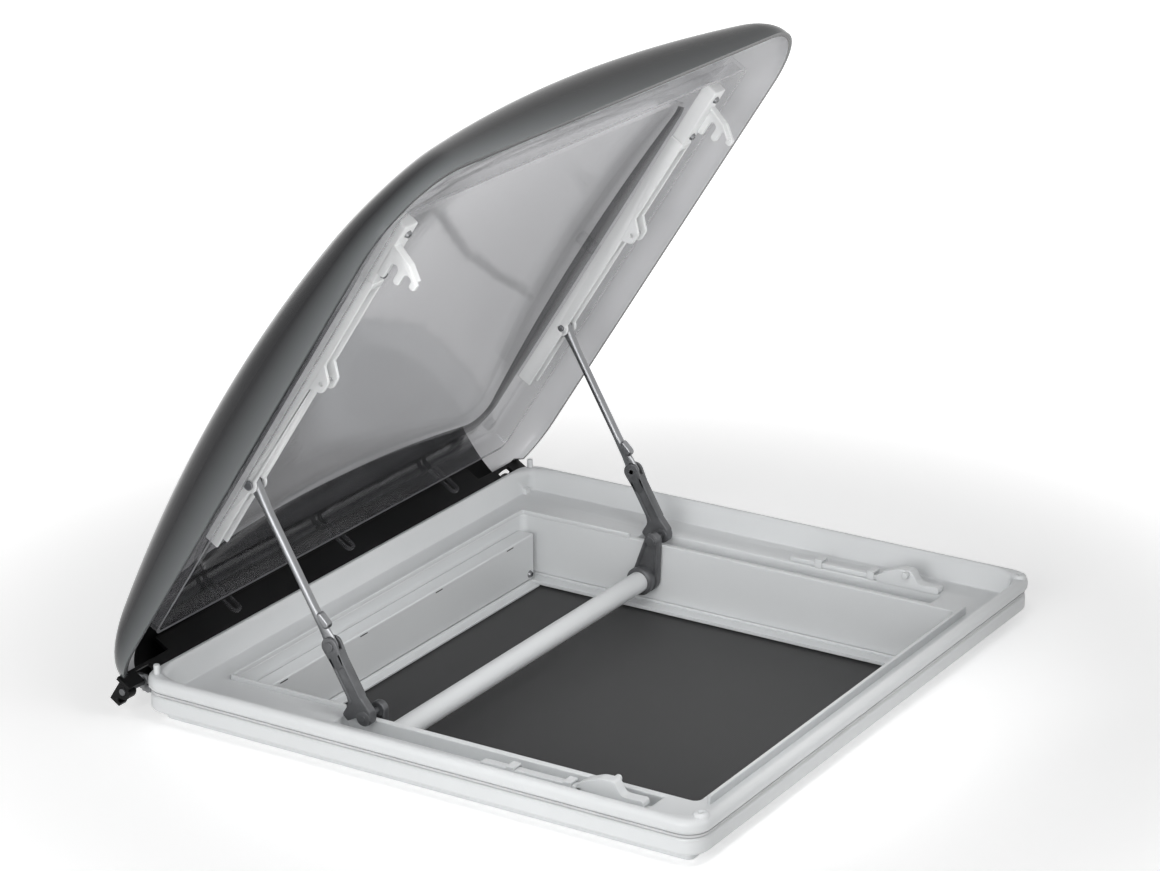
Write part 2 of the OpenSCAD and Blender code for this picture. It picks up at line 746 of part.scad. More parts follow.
module hook_right() {
    color(white) on_lid() {
        span(rail_end + seat, hook_x1, strut_y - rail_w / 2, hook_y0 + hook_t, pane_edge, rail_z1);
        side_plate(hook_y0, hook_y0 + hook_t) difference() {
            translate([hook_x - hook_w / 2, hook_tip]) square([hook_w, pane_edge - hook_tip + 1]);
            for (z = [notch_z, notch_z - notch_step]) {
                translate([hook_x, z]) circle(r = notch_r);
                translate([hook_x - hook_w, z - notch_r]) square([hook_w, 2 * notch_r]);
            }
            translate([hook_x + hook_w / 2, hook_tip]) rotate(45) square(hook_w / 2, center = true);
        }
    }
}

module hook_screws() {
    color(steel) on_lid() both_sides()
        for (off = hook_screw_offs)
            translate([hook_x + off, strut_y, pane_edge - screw_head]) cylinder(d = 2 * screw_d, h = screw_head);
}

module strut_pins() {
    color(steel) on_lid() both_sides() {
        y_pin(strut_x, strut_z, pin_d, strut_y - rail_w / 2 - 1, strut_y + rail_w / 2 + 1);
        y_pin(strut_x, strut_z, 2 * screw_d + 1, strut_y + rail_w / 2, strut_y + rail_w / 2 + 1.5);
    }
}

module strut_right() {
    color(steel) on_strut() difference() {
        union() {
            y_pin(0, 0, 10.5, -eye_w / 2, eye_w / 2);
            translate([3, 0, 0]) rotate([0, 90, 0]) cylinder(d = rod_d, h = knee_x - knee_r - 6);
            y_pin(knee_x, 0, 2 * knee_r - 2, -tongue_t / 2, tongue_t / 2);
            span(knee_x - knee_r - 6, knee_x, -tongue_t / 2, tongue_t / 2, -4, 4);
            y_pin(knee_x - 18, rod_d / 2 + 1.5, 7, -2.5, 2.5);
        }
        y_pin(0, 0, pin_d + 2 * run_gap, -eye_w, eye_w);
        y_pin(knee_x, 0, pin_d + 2 * run_gap, -eye_w, eye_w);
    }
}

module lever_right() {
    color(steel) on_strut() difference() {
        side_plate(-lever_t / 2, lever_t / 2) {
            translate([knee_x, 0]) circle(r = knee_r);
            translate([strut_len, 0]) circle(r = foot_r);
            translate([knee_x, -knee_r + 1]) square([lever_len, 2 * knee_r - 2]);
            polygon([
                [knee_x + lever_len / 2, 0],
                [strut_len - 8, -leg_drop],
                [strut_len - 3, -leg_drop],
                [strut_len - 7, 0]
            ]);
            translate([strut_len - 5.5, -leg_drop]) circle(r = 2.5);
        }
        span(knee_x - 2 * knee_r, knee_x + knee_r + 1, -tongue_t / 2 - seat, tongue_t / 2 + seat,
            -2 * knee_r, 2 * knee_r);
        y_pin(knee_x, 0, pin_d + 2 * run_gap, -lever_t, lever_t);
        y_pin(strut_len, 0, pin_d + 2 * run_gap, -lever_t, lever_t);
    }
}

module knee_pins() {
    color(steel) both_sides() on_strut() {
        y_pin(knee_x, 0, pin_d, -lever_t / 2, lever_t / 2);
        y_pin(knee_x, 0, 2 * screw_d + 1, lever_t / 2, lever_t / 2 + 1);
    }
}

module bow_tube() {
    color(white) difference() {
        y_pin(bow_x, bow_z, tube_d, -tube_half, tube_half);
        y_pin(bow_x, bow_z, tube_d - 2 * tube_wall, -tube_half - 1, tube_half + 1);
    }
}

module bow_arm_right() {
    color(white) difference() {
        union() {
            side_plate(arm_y0, arm_y1) {
                translate([foot_x, foot_z]) circle(r = foot_r);
                polygon([
                    [foot_x - foot_r, foot_z],
                    [bow_x - collar_r, bow_z],
                    [bow_x + collar_r, bow_z],
                    [foot_x + foot_r, foot_z]
                ]);
            }
            y_pin(bow_x, bow_z, 2 * collar_r, collar_y0, arm_y1);
        }
        y_pin(bow_x, bow_z, tube_d + 2 * run_gap, collar_y0 - 1, tube_half + seat);
        y_pin(foot_x, foot_z, pin_d + 2 * run_gap, arm_y0 - 1, arm_y1 + 1);
    }
}

module pivot_pins() {
    color(steel) both_sides() {
        y_pin(foot_x, foot_z, pin_d, arm_y0 - 1, strut_y + lever_t / 2 + 1);
        y_pin(foot_x, foot_z, 2 * screw_d + 1, arm_y0 - 1.5, arm_y0);
    }
}

module latch_bar_right() {
    color(white) {
        span(latch_x - latch_tail, latch_x + latch_head, latch_y0, latch_y0 + latch_w,
            ledge_z + seat, ledge_z + seat + latch_bar_t);
        span(latch_x - hump_back, latch_x + hump_front, latch_y0, latch_y0 + latch_w, ledge_z + seat, hump_top);
        span(latch_x + latch_head - 8, latch_x + latch_head, latch_y0, latch_y0 + latch_w,
            ledge_z + seat, ledge_z + seat + 2 * latch_bar_t);
        y_pin(latch_x, latch_z, latch_pin_d, hook_y0 - 0.5, latch_y0 + latch_w);
    }
}

module latch_keepers() {
    color(white) both_sides()
        for (o = keeper_offs)
            difference() {
                span(latch_x + o, latch_x + o + keeper_w, latch_y0 - seat - 0.6, latch_y0 + latch_w + seat + keeper_t,
                    ledge_z, ledge_z + 2 * seat + latch_bar_t + keeper_t);
                span(latch_x + o - 1, latch_x + o + keeper_w + 1, latch_y0 - seat, latch_y0 + latch_w + seat,
                    ledge_z - 1, ledge_z + 2 * seat + latch_bar_t);
            }
}

outer_frame();
inner_frame();
roof_seal();
rim_seal();
trim_screws();
corner_buffers();
corner_posts();
mirror([0, 1, 0]) hinge_bracket_right();  // hinge_bracket_left
hinge_bracket_right();
bracket_screws();
hinge_pins();
latch_keepers();
blind_cassette();
cassette_screws();
mirror([0, 1, 0]) guide_right();  // guide_left
guide_right();
roller_tube();
blind_fabric();
pull_bar();
dome();
inner_pane();
pane_spacers();
pane_clips();
hinge_profile();
hinge_claws();
mirror([0, 1, 0]) rail_right();  // rail_left
rail_right();
rail_screws();
mirror([0, 1, 0]) hook_right();  // hook_left
hook_right();
hook_screws();
strut_pins();
mirror([0, 1, 0]) strut_right();  // strut_left
strut_right();
mirror([0, 1, 0]) lever_right();  // lever_left
lever_right();
knee_pins();
bow_tube();
mirror([0, 1, 0]) bow_arm_right();  // bow_arm_left
bow_arm_right();
pivot_pins();
mirror([0, 1, 0]) latch_bar_right();  // latch_bar_left
latch_bar_right();
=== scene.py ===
"""Caravan roof vent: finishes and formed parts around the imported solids, laid out as an add-on."""

import json
import math

import bmesh
import bpy
from bpy.props import FloatProperty, FloatVectorProperty, PointerProperty
from mathutils import Matrix, Vector


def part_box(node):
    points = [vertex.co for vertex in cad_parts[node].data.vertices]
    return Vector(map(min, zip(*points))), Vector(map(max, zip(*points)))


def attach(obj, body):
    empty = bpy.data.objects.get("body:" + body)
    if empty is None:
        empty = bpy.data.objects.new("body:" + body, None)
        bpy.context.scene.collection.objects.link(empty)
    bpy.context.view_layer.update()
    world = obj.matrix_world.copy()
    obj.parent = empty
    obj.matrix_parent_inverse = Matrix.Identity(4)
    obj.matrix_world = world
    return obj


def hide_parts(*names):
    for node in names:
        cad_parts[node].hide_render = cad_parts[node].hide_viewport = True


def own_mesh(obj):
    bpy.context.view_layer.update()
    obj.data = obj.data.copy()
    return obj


bl_info = {
    "name": "Caravan roof vent",
    "version": (1, 0, 0),
    "blender": (4, 5, 0),
    "location": "View3D > Sidebar > Roof vent",
    "description": "Builds the finished pieces of a caravan roof vent on its packed solids",
    "category": "Object",
}

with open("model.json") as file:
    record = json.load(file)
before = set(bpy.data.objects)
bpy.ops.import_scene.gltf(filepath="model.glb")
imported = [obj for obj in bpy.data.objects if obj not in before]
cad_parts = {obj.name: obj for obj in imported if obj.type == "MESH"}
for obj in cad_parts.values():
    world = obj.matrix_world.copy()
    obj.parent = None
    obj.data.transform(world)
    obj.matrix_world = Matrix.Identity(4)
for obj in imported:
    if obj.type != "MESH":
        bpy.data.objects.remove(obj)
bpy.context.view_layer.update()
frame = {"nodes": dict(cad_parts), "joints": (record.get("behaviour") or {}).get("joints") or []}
NODES = frame["nodes"]
JOINTS = {joint["name"]: joint for joint in frame["joints"]}
MM = 0.001
SIDES = {"left": -1, "right": 1}
WORLD = Matrix.Identity(4)

# The lid's own frame has the hinge axis as zero and the lid lying closed.
PIVOT = Vector(JOINTS["lid_hinge"]["pos_m"])
OPEN_ANGLE = math.radians(JOINTS["lid_hinge"]["range_deg"][1])
LID = Matrix.Translation(PIVOT) @ Matrix.Rotation(-OPEN_ANGLE, 4, "Y")

# The strut's own frame runs along X from the pin in the lid to the foot of the bow.
STRUT_TOP = Vector(JOINTS["strut_swing"]["pos_m"])
BOW_FOOT = Vector(JOINTS["bow_pivot"]["pos_m"])
STRUT_LENGTH = (BOW_FOOT - STRUT_TOP).length
STRUT_TILT = math.atan2(STRUT_TOP.z - BOW_FOOT.z, BOW_FOOT.x - STRUT_TOP.x)
STRUT = Matrix.Translation(STRUT_TOP) @ Matrix.Rotation(STRUT_TILT, 4, "Y")


def linear(code):
    """Linear RGBA of an sRGB colour written as six hex digits."""
    parts = [int(code[i:i + 2], 16) / 255 for i in (0, 2, 4)]
    return tuple(c / 12.92 if c <= 0.04045 else ((c + 0.055) / 1.055) ** 2.4 for c in parts) + (1.0,)


def colour(name, description, code):
    """Colour setting with a hex default."""
    return FloatVectorProperty(name=name, description=description, default=linear(code), size=4,
                               min=0, max=1, subtype="COLOR")


def length(name, description, millimetres):
    """Length setting with a default in millimetres."""
    return FloatProperty(name=name, description=description, default=millimetres * MM, min=0,
                         unit="LENGTH", precision=4)


class VentSizes(bpy.types.PropertyGroup):
    """Sizes of the formed pieces that a user would change"""

    frame_edge: length("Frame edge", "Rounding of the frame's moulded edges", 1.0)
    small_edge: length("Small edge", "Rounding of small moulded and cast edges", 0.5)
    dome_wall: length("Dome shoulder", "Height of the dome's shoulder at its corners", 12)
    dome_skirt: length("Dome skirt", "Straight part of the dome's edge", 3)
    dome_skin: length("Dome skin", "Wall thickness of the dome", 4)
    crown_x: length("Crown along", "Rise of the dome from hinge side to front", 28)
    crown_y: length("Crown across", "Rise of the dome from side to side", 27)
    front_r: length("Front corner", "Corner radius of the dome at the front", 67)
    rear_r: length("Hinge corner", "Corner radius of the dome at the hinge side", 58)
    pane_skin: length("Pane skin", "Wall thickness of the inner pane", 3)
    pane_r: length("Pane corner", "Corner radius of the inner pane", 8)
    bulge_r: length("Bulge corner", "Corner radius of the pane's bulged middle", 24)
    bulge_edge: length("Bulge edge", "Lowest rise of the bulged middle", 2)
    bulge_x: length("Bulge along", "Rise of the bulged middle from hinge side to front", 9)
    bulge_y: length("Bulge across", "Rise of the bulged middle from side to side", 17)
    tube_d: length("Bow tube", "Diameter of the bow tube", 16.3)
    rod_d: length("Strut rod", "Diameter of the strut rods", 6.5)
    fabric_t: length("Blind fabric", "Thickness of the blind fabric", 0.6)
    floor_hole: length("Roof hole", "Side of the square hole in the stage's roof", 401)


class VentColours(bpy.types.PropertyGroup):
    """Colours of the vent's materials"""

    plastic: colour("White plastic", "Moulded frame, cassette and latches", "d6d8d9")
    # Painted light: the lid's rails and hooks are the frame's white plastic, painted whiter for the light
    # that comes through the smoked dome.
    lid_plastic_painted_light: colour("Lid plastic", "Moulded rails and hooks of the lid", "f2f3f3")
    smoke: colour("Smoked acrylic", "Outer dome", "262628")
    # Painted light: the outer dome is painted paler near its rim for the light that comes through the acrylic
    # there.
    smoke_rim_painted_light: colour("Smoked rim", "Outer dome near its rim, where light comes through", "6e7172")
    # Painted light: the inner face of the dark dome is painted pale for the light that comes through it.
    inside_painted_light: colour("Dome inside", "Inner face of the smoked dome", "e4e4e6")
    pane: colour("Clear acrylic", "Inner pane and its spacers", "d6d6d9")
    pane_edge: colour("Acrylic edge", "Cut edges of the inner pane", "98989b")
    # Painted shade: the clear acrylic walls and clips are given this dark grey for how they look when seen
    # along.
    wall: colour("Acrylic wall", "Steep walls of the inner pane's bulge and its clips", "3a3a3c")
    black: colour("Black plastic", "Hinge profile and claws", "0a0a0b")
    # The pull bar's own colour, and also the painted shade of the cassette's clip slots.
    charcoal: colour("Charcoal plastic", "Pull bar of the blind and slots of its cassette", "3a3a3c")
    cast: colour("Cast metal", "Levers and arms of the bow", "606163")
    steel: colour("Steel", "Rods, pins and screws", "8e8f91")
    rubber: colour("Rubber", "Seal under the frame's skirt", "4c4d4f")
    seal: colour("Rim seal", "Strip in the groove under the rim's lip", "c6c7c8")
    fabric: colour("Blind fabric", "Coated blackout cloth of the blind", "242425")
    floor: colour("Roof", "Pale roof that the vent stands in", "f4f4f4")


def sizes():
    """The size settings of the scene."""
    return bpy.context.scene.vent_sizes


def colours():
    """The colour settings of the scene."""
    return bpy.context.scene.vent_colours


# Materials


def add_node(tree, kind, settings=None, links=None):
    """Adds a node. Settings fill its properties or sockets, and links join its sockets to outputs."""
    node = tree.nodes.new(kind)
    for key, value in (settings or {}).items():
        if isinstance(key, str) and key in node.bl_rna.properties:
            setattr(node, key, value)
        else:
            node.inputs[key].default_value = value
    for key, socket in (links or {}).items():
        tree.links.new(socket, node.inputs[key])
    return node


def base_material(name, base, roughness, **sockets):
    """Material with one Principled shader. Returns the material, its tree and the shader."""
    material = bpy.data.materials.new(name)
    material.use_nodes = True
    tree = material.node_tree
    tree.nodes.clear()
    settings = {"Base Color": base, "Roughness": roughness}
    settings.update({key.replace("_", " "): value for key, value in sockets.items()})
    shader = add_node(tree, "ShaderNodeBsdfPrincipled", settings)
    add_node(tree, "ShaderNodeOutputMaterial", links={"Surface": shader.outputs[0]})
    return material, tree, shader


def clouding(tree, shader, place, cloud_mm, detail, tone, ends=(0.0, 1.0)):
    """Cloudy change of tone round the shader's own colour, over the part of the noise between two ends."""
    cloud = add_node(tree, "ShaderNodeTexNoise", {"Scale": 1 / (cloud_mm * MM), "Detail": detail},
                     {"Vector": place})
    base = Vector(shader.inputs["Base Color"].default_value[:3])
    ramp = add_node(tree, "ShaderNodeValToRGB", links={"Fac": cloud.outputs[0]})
    for element, end, share in zip(ramp.color_ramp.elements, ends, (1 - tone, 1 + tone)):
        element.position = end
        element.color = (*(base * share), 1)
    tree.links.new(ramp.outputs[0], shader.inputs["Base Color"])


def grain(tree, shader, size_mm, depth_mm, tone=0.0, cloud_mm=60.0, stretch=(1, 1, 1)):
    """Surface relief of one grain size, with a cloudy change of tone at a larger scale."""
    place = add_node(tree, "ShaderNodeTexCoord").outputs["Object"]
    spread = add_node(tree, "ShaderNodeMapping", {"Scale": stretch}, {"Vector": place}).outputs[0]
    pits = add_node(tree, "ShaderNodeTexNoise", {"Scale": 1 / (size_mm * MM), "Detail": 3.0},
                    {"Vector": spread})
    bump = add_node(tree, "ShaderNodeBump", {"Strength": 1.0, "Distance": depth_mm * MM},
                    {"Height": pits.outputs[0]})
    tree.links.new(bump.outputs[0], shader.inputs["Normal"])
    if tone:
        clouding(tree, shader, place, cloud_mm, 4.0, tone, ends=(0.3, 0.7))


def looked_at(tree):
    """One where the camera sees a surface straight, mirrored or through glass, and zero elsewhere."""
    path = add_node(tree, "ShaderNodeLightPath").outputs
    straight = add_node(tree, "ShaderNodeMath", {"operation": "MAXIMUM"},
                        {0: path["Is Camera Ray"], 1: path["Is Transmission Ray"]}).outputs[0]
    return add_node(tree, "ShaderNodeMath", {"operation": "MAXIMUM"},
                    {0: straight, 1: path["Is Glossy Ray"]}).outputs[0]


def white_plastic():
    """UV stable ASA, injection moulded: satin white with a fine spark grain and faint clouding."""
    material, tree, shader = base_material("moulded_asa_white", colours().plastic, 0.36, IOR=1.5)
    grain(tree, shader, size_mm=1.6, depth_mm=0.012, tone=0.02, cloud_mm=90)
    return material


def lid_white_painted_light():
    """Moulded ABS of the lid's rails and hooks: glossier than the frame, and painted whiter than it for the
    light that comes through the smoked dome onto them.
    """
    material, tree, shader = base_material("moulded_abs_white", colours().lid_plastic_painted_light, 0.3, IOR=1.5)
    grain(tree, shader, size_mm=1.6, depth_mm=0.01, tone=0.015, cloud_mm=60)
    return material


def smoked_acrylic():
    """Tinted PMMA, drawn down hot: dark and glossy with a slow waviness, and with painted light that makes it
    paler at its rim, where light comes through the acrylic.
    """
    material, tree, shader = base_material("smoked_acrylic", colours().smoke, 0.16, IOR=1.38, Alpha=0.97,
                                           Specular_IOR_Level=0.2)
    grain(tree, shader, size_mm=70, depth_mm=0.25)
    # Painted light: paler towards the rim, following the shade attribute of the dome's points.
    rim = add_node(tree, "ShaderNodeAttribute", {"attribute_name": "shade"}).outputs["Fac"]
    ramp = add_node(tree, "ShaderNodeValToRGB", links={"Fac": rim})
    for element, tint in zip(ramp.color_ramp.elements, (colours().smoke, colours().smoke_rim_painted_light)):
        element.color = tint
    tree.links.new(ramp.outputs[0], shader.inputs["Base Color"])
    return material


def smoked_inside():
    """Inner face of the tinted PMMA: painted pale for the light that comes through the dome and lights it
    from inside the lid.
    """
    material, tree, shader = base_material("smoked_acrylic_inside", colours().inside_painted_light, 0.3, IOR=1.49, Alpha=0.9)
    grain(tree, shader, size_mm=70, depth_mm=0.2)
    return material


def clear_acrylic():
    """Clear PMMA sheet, drawn down hot: what its Fresnel share mirrors shows, the rest is looked through."""
    material, tree, shader = base_material("clear_acrylic", colours().pane, 0.09, Metallic=1.0, Alpha=0.1)
    grain(tree, shader, size_mm=55, depth_mm=0.35)
    slant = add_node(tree, "ShaderNodeLayerWeight", {"Blend": 0.5}).outputs["Facing"]
    steep = add_node(tree, "ShaderNodeMath", {"operation": "POWER", 1: 5.0}, {0: slant}).outputs[0]
    share = add_node(tree, "ShaderNodeMapRange", {"To Min": 0.06, "To Max": 0.9}, {"Value": steep})
    tree.links.new(share.outputs[0], shader.inputs["Alpha"])
    return material


def acrylic_edge():
    """Cut edge of a clear sheet: light gathers there, so it reads as a denser grey line."""
    material, tree, shader = base_material("clear_acrylic_edge", colours().pane_edge, 0.2, IOR=1.49,
                                           Alpha=0.7)
    grain(tree, shader, size_mm=2, depth_mm=0.02, tone=0.05)
    return material


def acrylic_wall():
    """Steep walls of the clear sheet, and its clips: looked along, clear acrylic shows a darker band, which
    is painted shade here, a dark grey that is denser higher up the wall.
    """
    material, tree, shader = base_material("clear_acrylic_wall", colours().wall, 0.12, IOR=1.49)
    grain(tree, shader, size_mm=9, depth_mm=0.12, tone=0.25, cloud_mm=40, stretch=(1, 1, 6))
    height = add_node(tree, "ShaderNodeAttribute", {"attribute_name": "shade"}).outputs["Fac"]
    dense = add_node(tree, "ShaderNodeMapRange", {"From Max": 0.5, "To Min": 0.5, "To Max": 0.78},
                     {"Value": height})
    tree.links.new(dense.outputs[0], shader.inputs["Alpha"])
    return material


def black_plastic():
    """Extruded black PP: near black and matt, with faint lines along the draw."""
    material, tree, shader = base_material("extruded_pp_black", colours().black, 0.42,
                                           Specular_IOR_Level=0.15)
    grain(tree, shader, size_mm=3, depth_mm=0.006, tone=0.2, stretch=(1, 0.05, 1))
    return material


def charcoal_plastic():
    """Moulded charcoal ABS: matt with a leathery spark grain. It also paints the shade in the cassette's clip
    slots.
    """
    material, tree, shader = base_material("charcoal_abs_and_slot_shade", colours().charcoal, 0.5)
    grain(tree, shader, size_mm=1.8, depth_mm=0.03, tone=0.06)
    return material


def cast_metal():
    """Die cast zinc, tumbled: dull mid grey with orange peel and darker hollows."""
    material, tree, shader = base_material("die_cast_zinc", colours().cast, 0.42, Metallic=0.45)
    grain(tree, shader, size_mm=2.2, depth_mm=0.05, tone=0.16, cloud_mm=9)
    return material


def drawn_steel():
    """Zinc plated steel, drawn and polished: bright with a clean streak of light along the rod."""
    material, tree, shader = base_material("zinc_plated_steel", colours().steel, 0.36, Metallic=1.0)
    grain(tree, shader, size_mm=1.2, depth_mm=0.006, tone=0.06, cloud_mm=14)
    return material


def seal_rubber():
    """EPDM strip: grey, matt and slightly dusty."""
    material, tree, shader = base_material("epdm_rubber", colours().rubber, 0.75)
    grain(tree, shader, size_mm=1.0, depth_mm=0.03, tone=0.1, cloud_mm=25)
    return material


def seal_grey():
    """Pale grey TPE strip pressed into the rim's groove: matt, with a fine skin."""
    material, tree, shader = base_material("pale_tpe", colours().seal, 0.6)
    grain(tree, shader, size_mm=1.0, depth_mm=0.03, tone=0.08, cloud_mm=25)
    return material


def blind_cloth():
    """Coated polyester blackout cloth. Its threads are drawn 1.6 mm apart, coarser than real, to show."""
    material, tree, shader = base_material("coated_polyester", colours().fabric, 0.62, Sheen_Weight=0.12,
                                           Sheen_Roughness=0.5)
    thread = 1.6 * MM
    place = add_node(tree, "ShaderNodeTexCoord").outputs["Object"]
    waves = [add_node(tree, "ShaderNodeTexWave",
                      {"bands_direction": axis, "Scale": math.pi / 10 / thread, "Distortion": 0.4},
                      {"Vector": place}).outputs["Fac"] for axis in ("X", "Y")]
    weave = add_node(tree, "ShaderNodeMath", {"operation": "MULTIPLY"}, {0: waves[0], 1: waves[1]})
    bump = add_node(tree, "ShaderNodeBump", {"Strength": 0.5, "Distance": 0.08 * MM},
                    {"Height": weave.outputs[0]})
    tree.links.new(bump.outputs[0], shader.inputs["Normal"])
    clouding(tree, shader, place, cloud_mm=150, detail=3.0, tone=0.12)
    return material


FINISHES = {
    "white_plastic": white_plastic,
    "lid_white_painted_light": lid_white_painted_light,
    "smoked_acrylic": smoked_acrylic,
    "smoked_inside": smoked_inside,
    "clear_acrylic": clear_acrylic,
    "acrylic_edge": acrylic_edge,
    "acrylic_wall": acrylic_wall,
    "black_plastic": black_plastic,
    "charcoal_plastic": charcoal_plastic,
    "cast_grey": cast_metal,
    "steel": drawn_steel,
    "rubber": seal_rubber,
    "seal_grey": seal_grey,
    "fabric": blind_cloth,
}
made_finishes = {}


def finish(name):
    """The material of that name, made on first use."""
    if name not in made_finishes:
        made_finishes[name] = FINISHES[name]()
    return made_finishes[name]


# Mesh helpers


def piece(name, mesh, body, slot, *nodes):
    """Object for a finished mesh that rides on a body and stands for CAD nodes, which it hides. The slot is
    not used.
    """
    made = bpy.data.objects.new(name, mesh)
    bpy.context.scene.collection.objects.link(made)
    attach(made, body)
    if nodes:
        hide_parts(*nodes)
    return made


def mesh_from(name, bm, *finishes, smooth=40):
    """Plain mesh from an edit mesh, shaded smooth below an angle in degrees."""
    mesh = bpy.data.meshes.new(name)
    bm.to_mesh(mesh)
    bm.free()
    for each in finishes:
        mesh.materials.append(finish(each))
    mesh.shade_smooth()
    mesh.set_sharp_from_angle(angle=math.radians(smooth))
    return mesh


def bevelled(mesh, width, angle=40, segments=3):
    """The mesh with its sharp edges rounded and its flat faces kept flat in the shading."""
    carrier = bpy.data.objects.new("carrier", mesh)
    bpy.context.scene.collection.objects.link(carrier)
    bevel = carrier.modifiers.new("Rounding", "BEVEL")
    bevel.width = width
    bevel.segments = segments
    bevel.limit_method = "ANGLE"
    bevel.angle_limit = math.radians(angle)
    bevel.use_clamp_overlap = False
    bevel.harden_normals = True
    bevel.miter_outer = "MITER_ARC"
    shown = carrier.evaluated_get(bpy.context.evaluated_depsgraph_get())
    rounded = bpy.data.meshes.new_from_object(shown)
    bpy.data.objects.remove(carrier)
    return rounded


def merged(node, place=WORLD, apart=0.002 * MM):
    """Edit mesh of a CAD node in the frame of that matrix, with its loose triangles joined."""
    bm = bmesh.new()
    bm.from_mesh(NODES[node].data)
    bm.transform(place.inverted())
    bmesh.ops.remove_doubles(bm, verts=bm.verts, dist=apart)
    return bm


def cut(bm, point, normal):
    """Adds edges where a plane crosses an edit mesh."""
    bmesh.ops.bisect_plane(bm, geom=[*bm.verts, *bm.edges, *bm.faces], plane_co=point, plane_no=normal)


def close_gaps(bm):
    """Fills every open loop of an edit mesh with a flat face."""
    bmesh.ops.holes_fill(bm, edges=[edge for edge in bm.edges if edge.is_boundary])


def whole_faces(bm):
    """Joins the triangles of flat faces."""
    bmesh.ops.dissolve_limit(bm, angle_limit=math.radians(0.5), verts=bm.verts, edges=bm.edges)


def dressed(name, node, edge, body, slot, own_finish=None):
    """Piece with a CAD node's shape, its triangles merged into whole faces and its edges rounded."""
    bm = merged(node)
    whole_faces(bm)
    mesh = bevelled(mesh_from(node, bm, own_finish or slot), edge)
    return piece(name, mesh, body, slot, node)


def solids(node, place=WORLD):
    """Lowest and highest corner of each loose solid of a CAD node, in the frame of that matrix."""
    bm = merged(node, place)
    left, found = set(bm.verts), []
    while left:
        stack, island = [left.pop()], []
        while stack:
            vert = stack.pop()
            island.append(vert.co.copy())
            for edge in vert.link_edges:
                other = edge.other_vert(vert)
                if other in left:
                    left.remove(other)
                    stack.append(other)
        low = Vector(min(co[i] for co in island) for i in range(3))
        high = Vector(max(co[i] for co in island) for i in range(3))
        found.append((low, high))
    bm.free()
    return sorted(found, key=lambda box: tuple(box[0]))


def local_box(node, place=WORLD):
    """Box of a whole CAD node in the frame of that matrix."""
    boxes = solids(node, place)
    low = Vector(min(box[0][i] for box in boxes) for i in range(3))
    high = Vector(max(box[1][i] for box in boxes) for i in range(3))
    return low, high


def unit_circle(steps=32):
    """Points round a circle of radius one."""
    return [(math.cos(math.tau * k / steps), math.sin(math.tau * k / steps)) for k in range(steps)]


def set_off(x, dx, z, dz, radius):
    """Point and radius in metres, from a place in metres, its offsets and the radius in millimetres."""
    return Vector((x + dx * MM, z + dz * MM)), radius * MM


def rounded_outline(corners, steps=6):
    """Closed outline from corners, as set_off takes them, each turned into an arc."""
    places = [set_off(*corner) for corner in corners]
    side_share, shortest = 0.49, 1e-7
    outline = []
    for i, (here, radius) in enumerate(places):
        back = places[i - 1][0] - here
        ahead = places[(i + 1) % len(places)][0] - here
        half = back.angle(ahead) / 2
        reach = min(radius / math.tan(half), side_share * back.length, side_share * ahead.length)
        if reach < shortest:
            outline.append(here)
            continue
        centre = here + (back.normalized() + ahead.normalized()).normalized() * reach / math.cos(half)
        first = here + back.normalized() * reach - centre
        last = here + ahead.normalized() * reach - centre
        start = math.atan2(first.y, first.x)
        turn = (math.atan2(last.y, last.x) - start + math.pi) % math.tau - math.pi
        for k in range(steps + 1):
            angle = start + turn * k / steps
            outline.append(centre + first.length * Vector((math.cos(angle), math.sin(angle))))
    return outline


def two_circles(first, second, steps=16):
    """Outline round two circles, as set_off takes them, joined by their outer tangents."""
    (a, ra), (b, rb) = set_off(*first), set_off(*second)
    along = math.atan2((b - a).y, (b - a).x)
    lean = math.acos((ra - rb) / (b - a).length)
    outline = []
    for centre, radius, start, end in ((a, ra, along + lean, along - lean + math.tau),
                                       (b, rb, along - lean, along + lean)):
        for k in range(steps + 1):
            angle = start + (end - start) * k / steps
            outline.append(centre + radius * Vector((math.cos(angle), math.sin(angle))))
    return outline


def round_edges(bm, edges, width_mm):
    """Rounds edges of an edit mesh."""
    bmesh.ops.bevel(bm, geom=edges, offset=width_mm * MM, segments=3, profile=0.5, affect="EDGES",
                    clamp_overlap=True)


def add_prism(bm, outline, y0, y1, edge_mm=0, sunk_mm=None):
    """Adds a plate of an X and Z outline between two Y values, with rounded rims if asked.

    With sunk_mm, a border and a depth, its faces are sunk inside that border.
    """
    rows = [[bm.verts.new((p[0], y, p[1])) for p in outline] for y in (y0, y1)]
    caps = [bm.faces.new(row) for row in rows]
    walls = [bm.faces.new((rows[0][i - 1], rows[0][i], rows[1][i], rows[1][i - 1]))
             for i in range(len(outline))]
    bmesh.ops.recalc_face_normals(bm, faces=caps + walls)
    rims = list(dict.fromkeys(edge for cap in caps for edge in cap.edges))
    if sunk_mm:
        border, depth = sunk_mm[0] * MM, sunk_mm[1] * MM
        for cap in caps:
            for inset, sink in ((border, 0), (depth, -depth)):
                bmesh.ops.inset_individual(bm, faces=[cap], thickness=inset, depth=sink, use_even_offset=True)
    if edge_mm:
        round_edges(bm, rims, edge_mm)


def add_box(bm, low, high, edge_mm):
    """Adds a box between two corners, with rounded edges."""
    made = bmesh.ops.create_cube(bm, size=1.0)["verts"]
    for vert in made:
        vert.co = Vector(low[i] + (vert.co[i] + 0.5) * (high[i] - low[i]) for i in range(3))
    round_edges(bm, list(dict.fromkeys(edge for vert in made for edge in vert.link_edges)), edge_mm)


